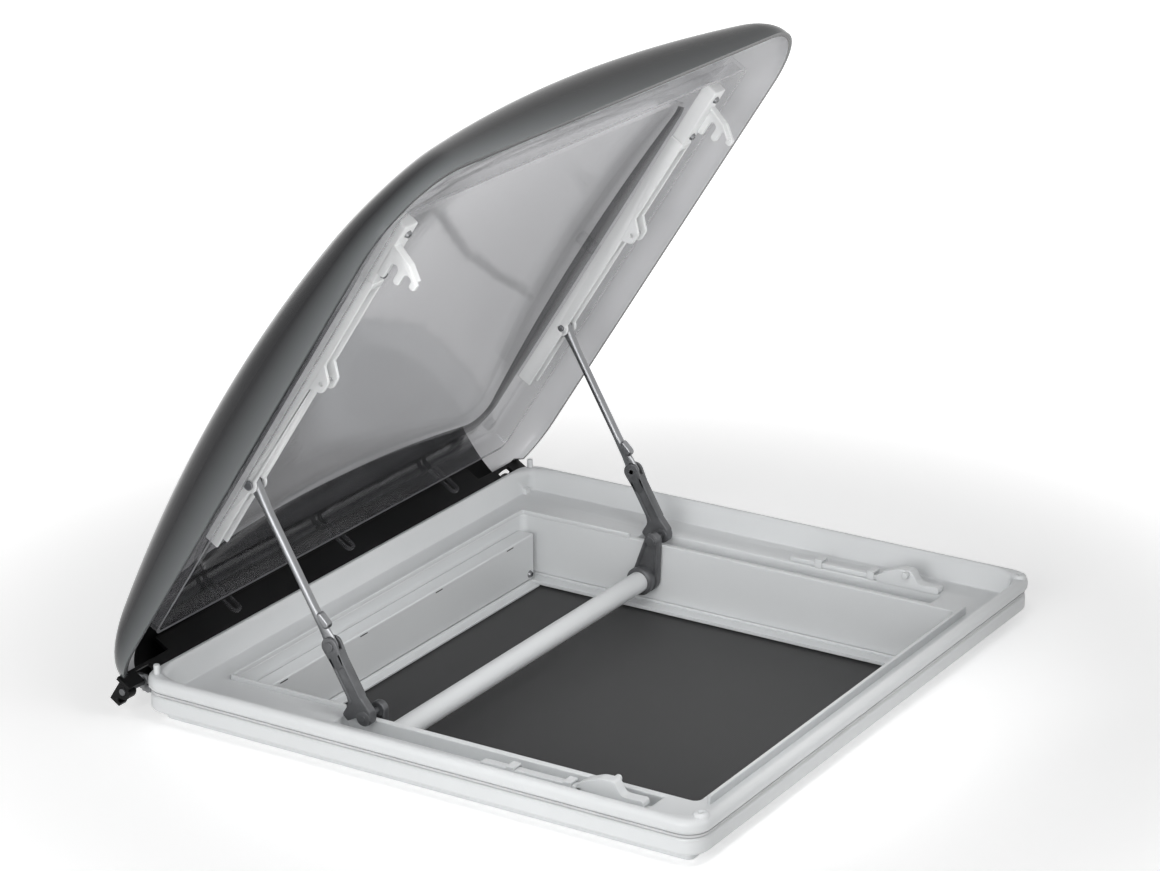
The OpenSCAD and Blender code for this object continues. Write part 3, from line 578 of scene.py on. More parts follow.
def add_pin(bm, x, z, y0, y1, radius_mm, edge_mm=0.5, segments=32):
    """Adds a round pin along Y."""
    radius = radius_mm * MM
    outline = [(x + radius * c, z + radius * s) for c, s in unit_circle(segments)]
    add_prism(bm, outline, y0, y1, edge_mm)


def add_loft(bm, rings, hollow=False):
    """Adds a skin through rings of points. Its ends get flat faces, or join each other round a hole."""
    rows = [[bm.verts.new(p) for p in ring] for ring in rings]
    faces = []
    for row, ahead in zip(rows, rows[1:] + rows[:1] if hollow else rows[1:]):
        for i in range(len(row)):
            faces.append(bm.faces.new((row[i - 1], row[i], ahead[i], ahead[i - 1])))
    if not hollow:
        faces.append(bm.faces.new(rows[0]))
        faces.append(bm.faces.new(rows[-1]))
    bmesh.ops.recalc_face_normals(bm, faces=faces)


def add_eye_plate(bm, outline, hole, radius, y0, y1, edge):
    """Adds a plate of an X and Z outline with a round hole and chamfered rims."""
    centre, step = Vector(hole), 1.2 * MM
    rays = []
    for start, end in zip(outline, outline[1:] + outline[:1]):
        parts = max(1, math.ceil((end - start).length / step))
        rays.extend(start.lerp(end, k / parts) - centre for k in range(parts))
    rings = []
    for y, inset in ((y0, None), (y0, edge), (y0 + edge, 0), (y1 - edge, 0), (y1, edge), (y1, None)):
        reaches = [radius if inset is None else ray.length - inset for ray in rays]
        points = [centre + ray.normalized() * reach for ray, reach in zip(rays, reaches)]
        rings.append([(point.x, y, point.y) for point in points])
    add_loft(bm, rings, hollow=True)


def add_shell(bm, skins, edge_index, pick, shade):
    """Adds a domed wall from an outer and an inner skin, each a list of rings that ends in a middle point.

    The material of a face comes from pick(skin number, ring number, point number), and the attribute named
    shade of its points from shade(skin number, ring number).
    """
    rims = []
    layer = bm.verts.layers.float.new("shade")
    for skin, rings in enumerate(skins):
        rows = [[bm.verts.new(p) for p in ring] for ring in rings[:-1]]
        tip = bm.verts.new(rings[-1])
        for ring, row in enumerate(rows):
            for vert in row:
                vert[layer] = shade(skin, ring)
        for ring, (row, ahead) in enumerate(zip(rows, rows[1:])):
            for i in range(len(row)):
                face = bm.faces.new((row[i - 1], row[i], ahead[i], ahead[i - 1]))
                face.material_index = pick(skin, ring, i)
        for i in range(len(rows[-1])):
            face = bm.faces.new((rows[-1][i - 1], rows[-1][i], tip))
            face.material_index = pick(skin, len(rows), i)
        rims.append(rows[0])
    for i in range(len(rims[0])):
        face = bm.faces.new((rims[0][i], rims[0][i - 1], rims[1][i - 1], rims[1][i]))
        face.material_index = edge_index
    bmesh.ops.recalc_face_normals(bm, faces=bm.faces)


def mirrored(bm, side):
    """Turns an edit mesh made for the right side into the one for that side."""
    if SIDES[side] < 0:
        bm.transform(Matrix.Scale(-1, 4, (0, 1, 0)))
        bmesh.ops.reverse_faces(bm, faces=bm.faces)


# Geometry Nodes


def run_tree(name, tree, points, values, finish_name, smooth=35):
    """Plain mesh that a node tree makes on a cloud of points, with its named inputs set first."""
    cloud = bpy.data.meshes.new(name)
    cloud.from_pydata([tuple(p) for p in points], [], [])
    carrier = bpy.data.objects.new("carrier", cloud)
    bpy.context.scene.collection.objects.link(carrier)
    modifier = carrier.modifiers.new("Nodes", "NODES")
    modifier.node_group = tree
    sockets = {item.name: item.identifier for item in tree.interface.items_tree if item.in_out == "INPUT"}
    for key, value in {**values, "Material": finish(finish_name)}.items():
        modifier[sockets[key]] = value
    shown = carrier.evaluated_get(bpy.context.evaluated_depsgraph_get())
    mesh = bpy.data.meshes.new_from_object(shown)
    bpy.data.objects.remove(carrier)
    mesh.name = name
    mesh.shade_smooth()
    mesh.set_sharp_from_angle(angle=math.radians(smooth))
    return mesh


def start_tree(name, inputs):
    """Empty node tree with a geometry in and out and the named inputs."""
    tree = bpy.data.node_groups.new(name, "GeometryNodeTree")
    tree.interface.new_socket("Geometry", in_out="INPUT", socket_type="NodeSocketGeometry")
    for label, kind in inputs:
        tree.interface.new_socket(label, in_out="INPUT", socket_type=kind)
    tree.interface.new_socket("Material", in_out="INPUT", socket_type="NodeSocketMaterial")
    tree.interface.new_socket("Geometry", in_out="OUTPUT", socket_type="NodeSocketGeometry")
    return tree, add_node(tree, "NodeGroupInput").outputs


def end_tree(tree, given, shape, rotation=None):
    """Places the shape on every point, makes it real and gives it its material."""
    links = {"Points": given["Geometry"], "Instance": shape}
    if rotation:
        links["Rotation"] = rotation
    placed = add_node(tree, "GeometryNodeInstanceOnPoints", links=links)
    real = add_node(tree, "GeometryNodeRealizeInstances", links={"Geometry": placed.outputs[0]})
    coated = add_node(tree, "GeometryNodeSetMaterial",
                      links={"Geometry": real.outputs[0], "Material": given["Material"]})
    add_node(tree, "NodeGroupOutput", links={"Geometry": coated.outputs[0]})
    return tree


def screw_tree():
    """Cross recessed screws: a tapered head above each point and a shank below it."""
    crown_share, recess_share = 0.72, 1.15
    size = "NodeSocketFloat"
    tree, given = start_tree("Cross recessed screws", [
        ("Head Radius", size), ("Head Height", size), ("Shank Radius", size), ("Shank Length", size),
        ("Recess Width", size), ("Direction", "NodeSocketVector")])
    crown = add_node(tree, "ShaderNodeMath", {"operation": "MULTIPLY", 1: crown_share},
                     {0: given["Head Radius"]})
    head = add_node(tree, "GeometryNodeMeshCone", {"Vertices": 32, "Side Segments": 1},
                    {"Radius Top": crown.outputs[0], "Radius Bottom": given["Head Radius"],
                     "Depth": given["Head Height"]})
    reach = add_node(tree, "ShaderNodeMath", {"operation": "MULTIPLY", 1: recess_share},
                     {0: given["Head Radius"]})
    lift = add_node(tree, "ShaderNodeCombineXYZ", links={2: given["Head Height"]})
    arms = []
    for long_axis, short_axis in ((0, 1), (1, 0)):
        sides = {long_axis: reach.outputs[0], short_axis: given["Recess Width"], 2: given["Head Height"]}
        size_in = add_node(tree, "ShaderNodeCombineXYZ", links=sides)
        bar = add_node(tree, "GeometryNodeMeshCube", links={"Size": size_in.outputs[0]})
        arms.append(add_node(tree, "GeometryNodeTransform",
                             links={"Geometry": bar.outputs[0], "Translation": lift.outputs[0]}).outputs[0])
    recessed = add_node(tree, "GeometryNodeMeshBoolean",
                        {"operation": "DIFFERENCE", "solver": "EXACT", "Self Intersection": True},
                        {"Mesh 1": head.outputs[0], "Mesh 2": arms[0]})
    tree.links.new(arms[1], recessed.inputs["Mesh 2"])
    shank = add_node(tree, "GeometryNodeMeshCylinder", {"Vertices": 20},
                     {"Radius": given["Shank Radius"], "Depth": given["Shank Length"]})
    half = add_node(tree, "ShaderNodeMath", {"operation": "MULTIPLY", 1: -0.5}, {0: given["Shank Length"]})
    drop = add_node(tree, "ShaderNodeCombineXYZ", links={2: half.outputs[0]})
    low = add_node(tree, "GeometryNodeTransform",
                   links={"Geometry": shank.outputs[0], "Translation": drop.outputs[0]})
    whole = add_node(tree, "GeometryNodeJoinGeometry", links={"Geometry": recessed.outputs[0]})
    tree.links.new(low.outputs[0], whole.inputs["Geometry"])
    facing = add_node(tree, "FunctionNodeAlignRotationToVector", {"axis": "Z"},
                      {"Vector": given["Direction"]})
    return end_tree(tree, given, whole.outputs[0], facing.outputs[0])


def slot_shade_tree():
    """Painted shade of a row of narrow clip slots: one small bar on each point."""
    tree, given = start_tree("Clip slot shade", [("Slot Size", "NodeSocketVector")])
    bar = add_node(tree, "GeometryNodeMeshCube", links={"Size": given["Slot Size"]})
    return end_tree(tree, given, bar.outputs[0])


# Pieces


class VentOperator:
    """What every operator of the vent shares"""

    bl_options = {"REGISTER", "UNDO"}

    def execute(self, context):
        """Builds the pieces."""
        self.build(sizes())
        return {"FINISHED"}


class VENT_OT_stage(VentOperator, bpy.types.Operator):
    """Adds the pale roof, the lights and the camera"""

    bl_idname = "vent.stage"
    bl_label = "Stage"

    def build(self, size):
        scene = bpy.context.scene
        scene.view_settings.view_transform = "Standard"
        self.add_roof(size)
        self.add_world(scene)
        self.add_lamps(scene)
        self.add_camera(scene)

    def add_roof(self, size):
        """Pale roof with the square hole that the neck passes through. It fades to white further away."""
        half, far = size.floor_hole / 2, 6.0
        bm = bmesh.new()
        rows = [[bm.verts.new((sx * reach, sy * reach, 0)) for sx, sy in ((-1, -1), (1, -1), (1, 1), (-1, 1))]
                for reach in (half, far)]
        for i in range(4):
            bm.faces.new((rows[0][i - 1], rows[0][i], rows[1][i], rows[1][i - 1]))
        bmesh.ops.recalc_face_normals(bm, faces=bm.faces)
        for face in bm.faces:
            if face.normal.z < 0:
                face.normal_flip()
        mesh = bpy.data.meshes.new("roof")
        bm.to_mesh(mesh)
        bm.free()
        material, tree, shader = base_material("painted_roof", colours().floor, 0.7)
        place = add_node(tree, "ShaderNodeTexCoord").outputs["Object"]
        away = add_node(tree, "ShaderNodeVectorMath", {"operation": "LENGTH"}, {0: place}).outputs["Value"]
        glow = add_node(tree, "ShaderNodeMapRange",
                        {"interpolation_type": "SMOOTHSTEP", "From Min": 0.35, "From Max": 0.8,
                         "To Min": 0.4}, {"Value": away})
        lift = add_node(tree, "ShaderNodeMath", {"operation": "MULTIPLY"},
                        {0: looked_at(tree), 1: glow.outputs[0]})
        shader.inputs["Emission Color"].default_value = (1, 1, 1, 1)
        tree.links.new(lift.outputs[0], shader.inputs["Emission Strength"])
        mesh.materials.append(material)
        roof = bpy.data.objects.new("stage_roof", mesh)
        bpy.context.scene.collection.objects.link(roof)

    def add_world(self, scene):
        """White where it is looked at, and elsewhere a soft fill, weaker from the front and from above."""
        world = bpy.data.worlds.new("studio")
        scene.world = world
        world.use_nodes = True
        tree = world.node_tree
        tree.nodes.clear()
        towards = add_node(tree, "ShaderNodeTexCoord").outputs["Generated"]
        along = add_node(tree, "ShaderNodeSeparateXYZ", links={0: towards}).outputs
        front = add_node(tree, "ShaderNodeMapRange", {"From Min": -1.0, "To Min": 0.85, "To Max": 0.38},
                         {"Value": along["X"]})
        above = add_node(tree, "ShaderNodeMapRange", {"To Min": 1.1, "To Max": 0.22}, {"Value": along["Z"]})
        fill = add_node(tree, "ShaderNodeMath", {"operation": "MULTIPLY"},
                        {0: front.outputs[0], 1: above.outputs[0]})
        level = add_node(tree, "ShaderNodeMapRange", {"To Max": 1.0},
                         {"Value": looked_at(tree), "To Min": fill.outputs[0]})
        sky = add_node(tree, "ShaderNodeBackground", {"Color": (1, 1, 1, 1)}, {"Strength": level.outputs[0]})
        add_node(tree, "ShaderNodeOutputWorld", links={"Surface": sky.outputs[0]})

    def add_lamps(self, scene):
        """A wide soft key from the near side, one that faces the open lid and one above the front half."""
        for name, place, aim, side, watts, spread in (
            ("key", (0.4, -2.85, 0.85), (0, 0, 0.05), 1.8, 46, 180),
            ("under_lid", (0.36, -0.08, 0.3), (-0.1, 0.03, 0.25), 0.45, 0.44, 100),
            ("over_front", (0.24, -0.24, 0.6), (0.03, -0.07, 0), 0.3, 0.34, 62),
        ):
            lamp = bpy.data.lights.new(name, "AREA")
            lamp.size = side
            lamp.energy = watts
            lamp.spread = math.radians(spread)
            holder = bpy.data.objects.new(name, lamp)
            holder.location = place
            holder.rotation_euler = (Vector(aim) - Vector(place)).to_track_quat("-Z", "Y").to_euler()
            holder.visible_camera = False
            holder.visible_glossy = name == "key"
            scene.collection.objects.link(holder)

    def add_camera(self, scene):
        """Camera at the photo's place, solved from the straight edges of frame and lid."""
        lens = bpy.data.cameras.new("photo_view")
        lens.sensor_width = 36
        lens.lens = 112.63
        lens.clip_start, lens.clip_end = 0.1, 60
        camera = bpy.data.objects.new("photo_view", lens)
        azimuth, elevation = math.radians(31.738), math.radians(19.945)
        back = Vector((math.sin(azimuth) * math.cos(elevation), -math.cos(azimuth) * math.cos(elevation),
                       math.sin(elevation)))
        camera.location = (1.24195, -2.03789, 1.04102)
        camera.rotation_euler = (-back).to_track_quat("-Z", "Y").to_euler()
        scene.collection.objects.link(camera)
        scene.camera = camera


class VENT_OT_frame(VentOperator, bpy.types.Operator):
    """Roof frame, ceiling trim, seals, buffers, posts, low walls and latch keepers"""

    bl_idname = "vent.frame"
    bl_label = "Roof frame"

    def build(self, size):
        self.add_roof_frame(size)
        dressed("ceiling_trim", "inner_frame", size.frame_edge, "frame", "white_plastic")
        self.add_buffers()
        self.add_upstand()
        for node in ("corner_posts", "latch_keepers"):
            dressed("moulded_" + node, node, size.small_edge, "frame", "white_plastic")
        for node, rubber in (("roof_seal", "rubber"), ("rim_seal", "seal_grey")):
            NODES[node].material_slots[0].material = finish(rubber)

    def add_roof_frame(self, size):
        """Roof frame with rounded edges, and with the pin holes closed that the buffers cover."""
        hole_r, play = 2 * MM, 1 * MM
        bm = merged("outer_frame")
        for low, high in solids("corner_buffers"):
            middle = (low + high) / 2
            hole = [vert for vert in bm.verts
                    if vert.co.z > low.z - play and (vert.co - middle).to_2d().length < hole_r]
            bmesh.ops.delete(bm, geom=hole, context="VERTS")
        close_gaps(bm)
        whole_faces(bm)
        self.slope_rim(bm)
        bmesh.ops.connect_verts_concave(bm, faces=bm.faces)
        mesh = bevelled(mesh_from("outer_frame", bm, "white_plastic"), size.frame_edge)
        piece("roof_frame", mesh, "frame", "white_plastic", "outer_frame")

    def slope_rim(self, bm):
        """Leans the rim's inner walls outward, but not at its corners, which carry buffers and posts."""
        wall, crest, corner, play = 12.5 * MM, 5 * MM, 30 * MM, 0.1 * MM
        lean, lowest_climb = 0.85, 0.01
        high = Vector(map(max, zip(*(vert.co for vert in bm.verts))))
        ledge = local_box("latch_keepers")[0].z
        for axis in (0, 1):
            normal = Vector((axis == 0, axis == 1, 0))
            for side in (-1, 1):
                cut(bm, normal * (high[axis] - corner) * side, normal)
        for vert in bm.verts:
            climb = (vert.co.z - ledge) / (high.z - ledge)
            for axis in (0, 1):
                inside = high[axis] - abs(vert.co[axis])
                from_corner = high[1 - axis] - abs(vert.co[1 - axis])
                if climb > lowest_climb and crest < inside < wall + play and from_corner > corner - play:
                    vert.co[axis] += math.copysign((inside - crest) * lean * climb, vert.co[axis])

    def add_upstand(self):
        """Low wall round the hinge end of the opening, up to the slide tracks, and a strip at its front."""
        inner = 0.3 * MM - local_box("blind_cassette")[0].x
        ledge = local_box("latch_keepers")[0].z
        end, front = BOW_FOOT.x - 24 * MM, inner + 6.5 * MM
        wall, overlap = 2.4, 0.3 * MM
        hinge_end = [
            (end, 0, -inner, -wall, 0.8), (-inner, -wall, -inner, -wall, 4), (-inner, -wall, inner, wall, 4),
            (end, 0, inner, wall, 0.8), (end, 0, inner, 0, 0.8), (-inner, 0, inner, 0, 2),
            (-inner, 0, -inner, 0, 2), (end, 0, -inner, 0, 0.8)]
        strip = [(front, 0, -inner, 0, 0.8), (front, wall, -inner, 0, 0.8), (front, wall, inner, 0, 0.8),
                 (front, 0, inner, 0, 0.8)]
        bm = bmesh.new()
        for plan, rise in ((hinge_end, 3.5 * MM), (strip, 6 * MM)):
            add_prism(bm, rounded_outline(plan), -ledge - rise, overlap - ledge, 0.6)
        bm.transform(Matrix.Rotation(math.radians(-90), 4, "X"))
        piece("neck_upstand", mesh_from("neck_upstand", bm, "white_plastic"), "frame", "white_plastic")

    def add_buffers(self):
        """Round lumps with a dimple that the closed lid rests on."""
        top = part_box("outer_frame")[1].z
        profile = [(5.2, -2.6), (5.2, 0.2), (5.0, 1.2), (4.3, 2.1), (3.3, 2.5), (2.3, 2.3), (1.6, 1.6),
                   (1.4, 0.8)]
        bm = bmesh.new()
        for low, high in solids("corner_buffers"):
            middle = (low + high) / 2
            add_loft(bm, [[(middle.x + radius * MM * c, middle.y + radius * MM * s, top + height * MM)
                           for c, s in unit_circle()] for radius, height in profile])
        piece("moulded_corner_buffers", mesh_from("corner_buffers", bm, "white_plastic"), "frame",
              "white_plastic", "corner_buffers")


class VENT_OT_hinge(VentOperator, bpy.types.Operator):
    """Hinge brackets, pins, black profile and claws"""

    bl_idname = "vent.hinge"
    bl_label = "Hinge"

    def build(self, size):
        for side in SIDES:
            node = "hinge_bracket_" + side
            dressed("steel_" + node, node, size.small_edge, "frame", "steel")
        dressed("steel_hinge_pins", "hinge_pins", size.small_edge, "frame", "steel", "cast_grey")
        for node in ("hinge_profile", "hinge_claws"):
            dressed("black_" + node, node, size.small_edge, "lid", "black_plastic")


class VENT_OT_blind(VentOperator, bpy.types.Operator):
    """Cassette, guides, roller, cloth and pull bar of the blind"""

    bl_idname = "vent.blind"
    bl_label = "Blind"

    def build(self, size):
        dressed("cassette", "blind_cassette", 1.4 * MM, "frame", "white_plastic")
        for side in SIDES:
            node = "guide_" + side
            dressed("moulded_" + node, node, size.small_edge, "frame", "white_plastic")
        dressed("blind_roller", "roller_tube", size.small_edge, "roller", "steel")
        dressed("blind_pull_bar", "pull_bar", size.small_edge, "blind", "charcoal_plastic")
        self.add_cloth(size)
        self.add_slot_shade()
        self.add_lip()

    def add_cloth(self, size):
        """Stretched cloth from the roller to the pull bar, which draws in as the bar slides back."""
        low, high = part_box("blind_fabric")
        run, width = high.x - low.x, high.y - low.y
        middle = low.z + size.fabric_t / 2
        along, across = 80, 60
        grids = []
        bm = bmesh.new()
        for z in (middle - 0.5 * size.fabric_t, middle + 0.5 * size.fabric_t):
            grid = [[bm.verts.new((low.x + run * i / along, low.y + width * j / across, z))
                     for j in range(across + 1)] for i in range(along + 1)]
            for i in range(along):
                for j in range(across):
                    bm.faces.new((grid[i][j], grid[i + 1][j], grid[i + 1][j + 1], grid[i][j + 1]))
            grids.append(grid)
        rims = [[row[0] for row in grid] + grid[-1][1:] + [row[-1] for row in grid[-2::-1]] + grid[0][-2:0:-1]
                for grid in grids]
        for i in range(len(rims[0])):
            bm.faces.new((rims[0][i - 1], rims[0][i], rims[1][i], rims[1][i - 1]))
        bmesh.ops.recalc_face_normals(bm, faces=bm.faces)
        mesh = mesh_from("blind_cloth", bm, "fabric")
        cloth = piece("blind_cloth", mesh, "frame", "fabric", "blind_fabric")
        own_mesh(cloth)

    def add_slot_shade(self):
        """Painted shade of clip slots along the top of the cassette's face: small charcoal bars standing just
        proud of it.
        """
        low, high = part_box("blind_cassette")
        count, margin, down, proud = 4, 34 * MM, 2.2 * MM, 0.15 * MM
        step = (high.y - low.y - 2 * margin) / (count - 1)
        points = [(high.x - proud, low.y + margin + k * step, high.z - down) for k in range(count)]
        mesh = run_tree("cassette_slot_shade", slot_shade_tree(), points, {"Slot Size": Vector((0.5, 9, 0.9)) * MM},
                        "charcoal_plastic")
        piece("cassette_slot_shade", mesh, "frame", "charcoal_plastic")

    def add_lip(self):
        """Slim lip in front of the cassette that the cloth runs out under."""
        low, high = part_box("blind_cassette")
        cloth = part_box("blind_fabric")[0].z
        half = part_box("guide_right")[0].y - 0.5 * MM
        face = high.x
        profile = rounded_outline([
            (face, -2, low.z, -0.4, 0), (face, -2, cloth, 2.2, 0.5), (face, 6, cloth, 1.4, 0.5),
            (face, 8, cloth, 1.4, 0.5), (face, 8, cloth, 3.4, 0.7), (face, 6.3, cloth, 3.4, 0.7),
            (face, 5.4, cloth, 2.6, 1), (face, 1, cloth, 3.4, 1), (face, 0.2, low.z, -0.4, 0)])
        bm = bmesh.new()
        add_prism(bm, profile, -half, half)
        piece("cassette_lip", mesh_from("cassette_lip", bm, "white_plastic"), "frame", "white_plastic")


class VENT_OT_lid(VentOperator, bpy.types.Operator):
    """Smoked dome, clear inner pane, spacers and clips"""

    bl_idname = "vent.lid"
    bl_label = "Lid"

    # How square the dome's shoulder is, points round a corner and along a side, rings over the crown, and
    # rings over which the painted light at the dome's rim fades.
    POWER = 24
    ARC_STEPS = 16
    EDGE_STEPS = 28
    FLAT_RINGS = 12
    RIM_RINGS = 6

    def build(self, size):
        self.add_dome(size)
        self.add_pane(size)
        dressed("clear_pane_spacers", "pane_spacers", size.small_edge, "lid", "clear_acrylic")
        self.add_clips()

    def outline(self, x0, x1, y, rear, front):
        """Loop of points round a rectangle with its own corner radius at the hinge side and the front."""
        loop = []
        for cx, cy, radius, start in ((x1 - front, y - front, front, 0), (x0 + rear, y - rear, rear, 90),
                                      (x0 + rear, rear - y, rear, 180), (x1 - front, front - y, front, 270)):
            for k in range(self.ARC_STEPS + 1):
                angle = math.radians(start + 90 * k / self.ARC_STEPS)
                loop.append(Vector((cx + radius * math.cos(angle), cy + radius * math.sin(angle))))
        whole = []
        for i, point in enumerate(loop):
            whole.append(point)
            if (i + 1) % (self.ARC_STEPS + 1) == 0:
                ahead = loop[(i + 1) % len(loop)]
                whole.extend(point.lerp(ahead, k / self.EDGE_STEPS) for k in range(1, self.EDGE_STEPS))
        return whole

    def add_dome(self, size):
        """Dome by one rule: a square-shouldered wall that rises into a crown along and across.

        Its skirt is cut away above the hinge claws, and its inner face is lined with black at the hinge side.
        """
        low, high = local_box("dome", LID)
        centre = Vector(((low.x + high.x) / 2, 0))
        half = Vector(((high.x - low.x) / 2, high.y))
        shoulder = low.z + size.dome_skirt
        claws = local_box("hinge_claws", LID)
        notch_z, notch_x = claws[1].z + 3.3 * MM, claws[1].x + 5 * MM
        notch_y = min(abs(box[0].y) for box in solids("hinge_claws", LID)) - 28 * MM
        least_step, lined_share, hinge_share = 0.4 * MM, 0.87, 0.12

        def rise(p, share, skin):
            """Height of the dome over a point whose ring has that share of the outline."""
            crown = (size.crown_x * (1 - ((p.x - centre.x) / half.x) ** 2)
                     + size.crown_y * (1 - (p.y / half.y) ** 2))
            return shoulder + (size.dome_wall + crown - skin) * math.sqrt(1 - share ** self.POWER)

        shares = [math.cos(math.radians(angle)) ** (2 / self.POWER) for angle in range(0, 84, 6)]
        shares += [shares[-1] * (1 - k / self.FLAT_RINGS) for k in range(1, self.FLAT_RINGS)]
        skins = []
        for inset in (0, size.dome_skin):
            loop = self.outline(low.x + inset, high.x - inset, high.y - inset, size.rear_r - inset,
                                size.front_r - inset)
            skirt = [Vector((p.x, p.y, notch_z if p.x < notch_x and abs(p.y) > notch_y else low.z))
                     for p in loop]
            rings = [skirt]
            for share in shares:
                ring = [centre + (p - centre) * share for p in loop]
                rings.append([Vector((p.x, p.y, max(rise(p, share, inset), first.z + least_step)))
                              for p, first in zip(ring, skirt)])
            rings.append(Vector((centre.x, centre.y, rise(centre, 0, inset))))
            skins.append(rings)
        hinge_points = {i for i, p in enumerate(loop) if p.x < low.x + size.rear_r * hinge_share}
        lined_rings = sum(share > lined_share for share in shares) + 1

        def pick(skin, ring, i):
            """Black for the lining, and otherwise the finish of that skin."""
            lined = skin == 1 and ring < lined_rings and i in hinge_points
            return 2 if lined else skin

        def shade(skin, ring):
            """Share of the painted rim light: one at the rim of the outer skin, fading to zero."""
            return 0.0 if skin else max(0.0, 1 - ring / self.RIM_RINGS)

        bm = bmesh.new()
        add_shell(bm, skins, 0, pick, shade)
        bm.transform(LID)
        mesh = mesh_from("dome_shell", bm, "smoked_acrylic", "smoked_inside", "black_plastic", smooth=50)
        piece("dome_shell", mesh, "lid", "smoked_acrylic", "dome")

    def add_pane(self, size):
        """Clear tray with a bulged middle, drawn from one sheet."""
        low, high = local_box("inner_pane", LID)
        rails = local_box("rail_right", LID)
        skin = size.pane_skin
        flange = rails[1].z + 0.3 * MM
        x0, x1, y = low.x + 28 * MM, high.x - 26 * MM, rails[0].y - 3 * MM
        centre = Vector(((x0 + x1) / 2, 0))
        bend, front_share = 2 * MM, 0.4

        def tray(inset):
            """Outline of the tray, drawn in by the inset."""
            corner = size.pane_r - inset
            return self.outline(low.x + inset, high.x - inset, high.y - inset, corner, corner)

        def bulge(p):
            """Rise of the bulged middle over a point."""
            return (size.bulge_edge + size.bulge_x * (1 - ((p.x - centre.x) / ((x1 - x0) / 2)) ** 2)
                    + size.bulge_y * (1 - (p.y / y) ** 2))

        shares = [0.998, 0.994, 0.99, 0.984, 0.976, 0.94, 0.88, 0.8, 0.7, 0.6, 0.45, 0.3, 0.15]
        climbs = [0.12, 0.5, 0.84, 0.95] + [1.0] * 9
        skins = []
        for inset in (0, skin):
            foot = self.outline(x0 + inset, x1 - inset, y - inset, size.bulge_r - inset, size.bulge_r - inset)
            top = flange + skin - inset
            levels = ((tray(inset), low.z), (tray(inset), top - bend), (tray(inset), top - 0.6 * bend),
                      (tray(inset + bend), top), (foot, top))
            rings = [[Vector((p.x, p.y, z)) for p in loop] for loop, z in levels]
            for share, climb in zip(shares, climbs):
                ring = [centre + (p - centre) * share for p in foot]
                rings.append([Vector((p.x, p.y, top + bulge(p) * climb)) for p in ring])
            rings.append(Vector((centre.x, 0, top + bulge(centre))))
            skins.append(rings)
        tray_rings = len(levels)
        wall_rings = range(tray_rings - 1, tray_rings + 2)
        front_points = {i for i, p in enumerate(foot) if p.x > x1 - skin - size.bulge_r * front_share}

        def pick(skin, ring, i):
            """Painted shade for the bulge's inner wall, but clear at the front and elsewhere."""
            return 2 if skin and ring in wall_rings and i not in front_points else 0

        def shade(skin, ring):
            """How far up the bulge's wall a ring lies."""
            return climbs[ring - tray_rings] if tray_rings <= ring < tray_rings + len(climbs) else 0.0

        bm = bmesh.new()
        add_shell(bm, skins, 1, pick, shade)
        bm.transform(LID)
        mesh = mesh_from("pane_shell", bm, "clear_acrylic", "acrylic_edge", "acrylic_wall", smooth=50)
        piece("pane_shell", mesh, "lid", "clear_acrylic", "inner_pane")

    def add_clips(self):
        """Clear clips: two legs down the pane's hinge wall that meet in a round foot on the black profile."""
        wall_x = local_box("inner_pane", LID)[0].x
        head = local_box("rail_right", LID)[1].z + 2 * MM
        reach, thick, leg, margin = 14 * MM, 2.6 * MM, 2.2, 2
        bm = bmesh.new()
        for low, high in solids("pane_clips", LID):
            middle, foot = (low.y + high.y) / 2, low.z - reach
            half = (high.y - low.y) / 2 / MM - margin
            lines = [rounded_outline([
                (middle, inset - half, head, 0, 0), (middle, inset - half, foot, inset, half * bend),
                (middle, half - inset, foot, inset, half * bend), (middle, half - inset, head, 0, 0),
            ], steps=10) for inset, bend in ((0, 0.9), (leg, 0.6))]
            rows = [[bm.verts.new((x, *p)) for p in line] for x in (wall_x - thick, wall_x) for line in lines]
            faces = []
            for a, b in ((0, 1), (1, 3), (3, 2), (2, 0)):
                for k in range(len(rows[0]) - 1):
                    faces.append(bm.faces.new((rows[a][k], rows[a][k + 1], rows[b][k + 1], rows[b][k])))
            for k in (0, -1):
                faces.append(bm.faces.new((rows[0][k], rows[1][k], rows[3][k], rows[2][k])))
            bmesh.ops.recalc_face_normals(bm, faces=faces)
        bm.transform(LID)
        # The clear clips take the walls' painted shade.
        piece("clear_pane_clips", bevelled(mesh_from("pane_clips", bm, "acrylic_wall"), 0.4 * MM), "lid",
              "clear_acrylic", "pane_clips")


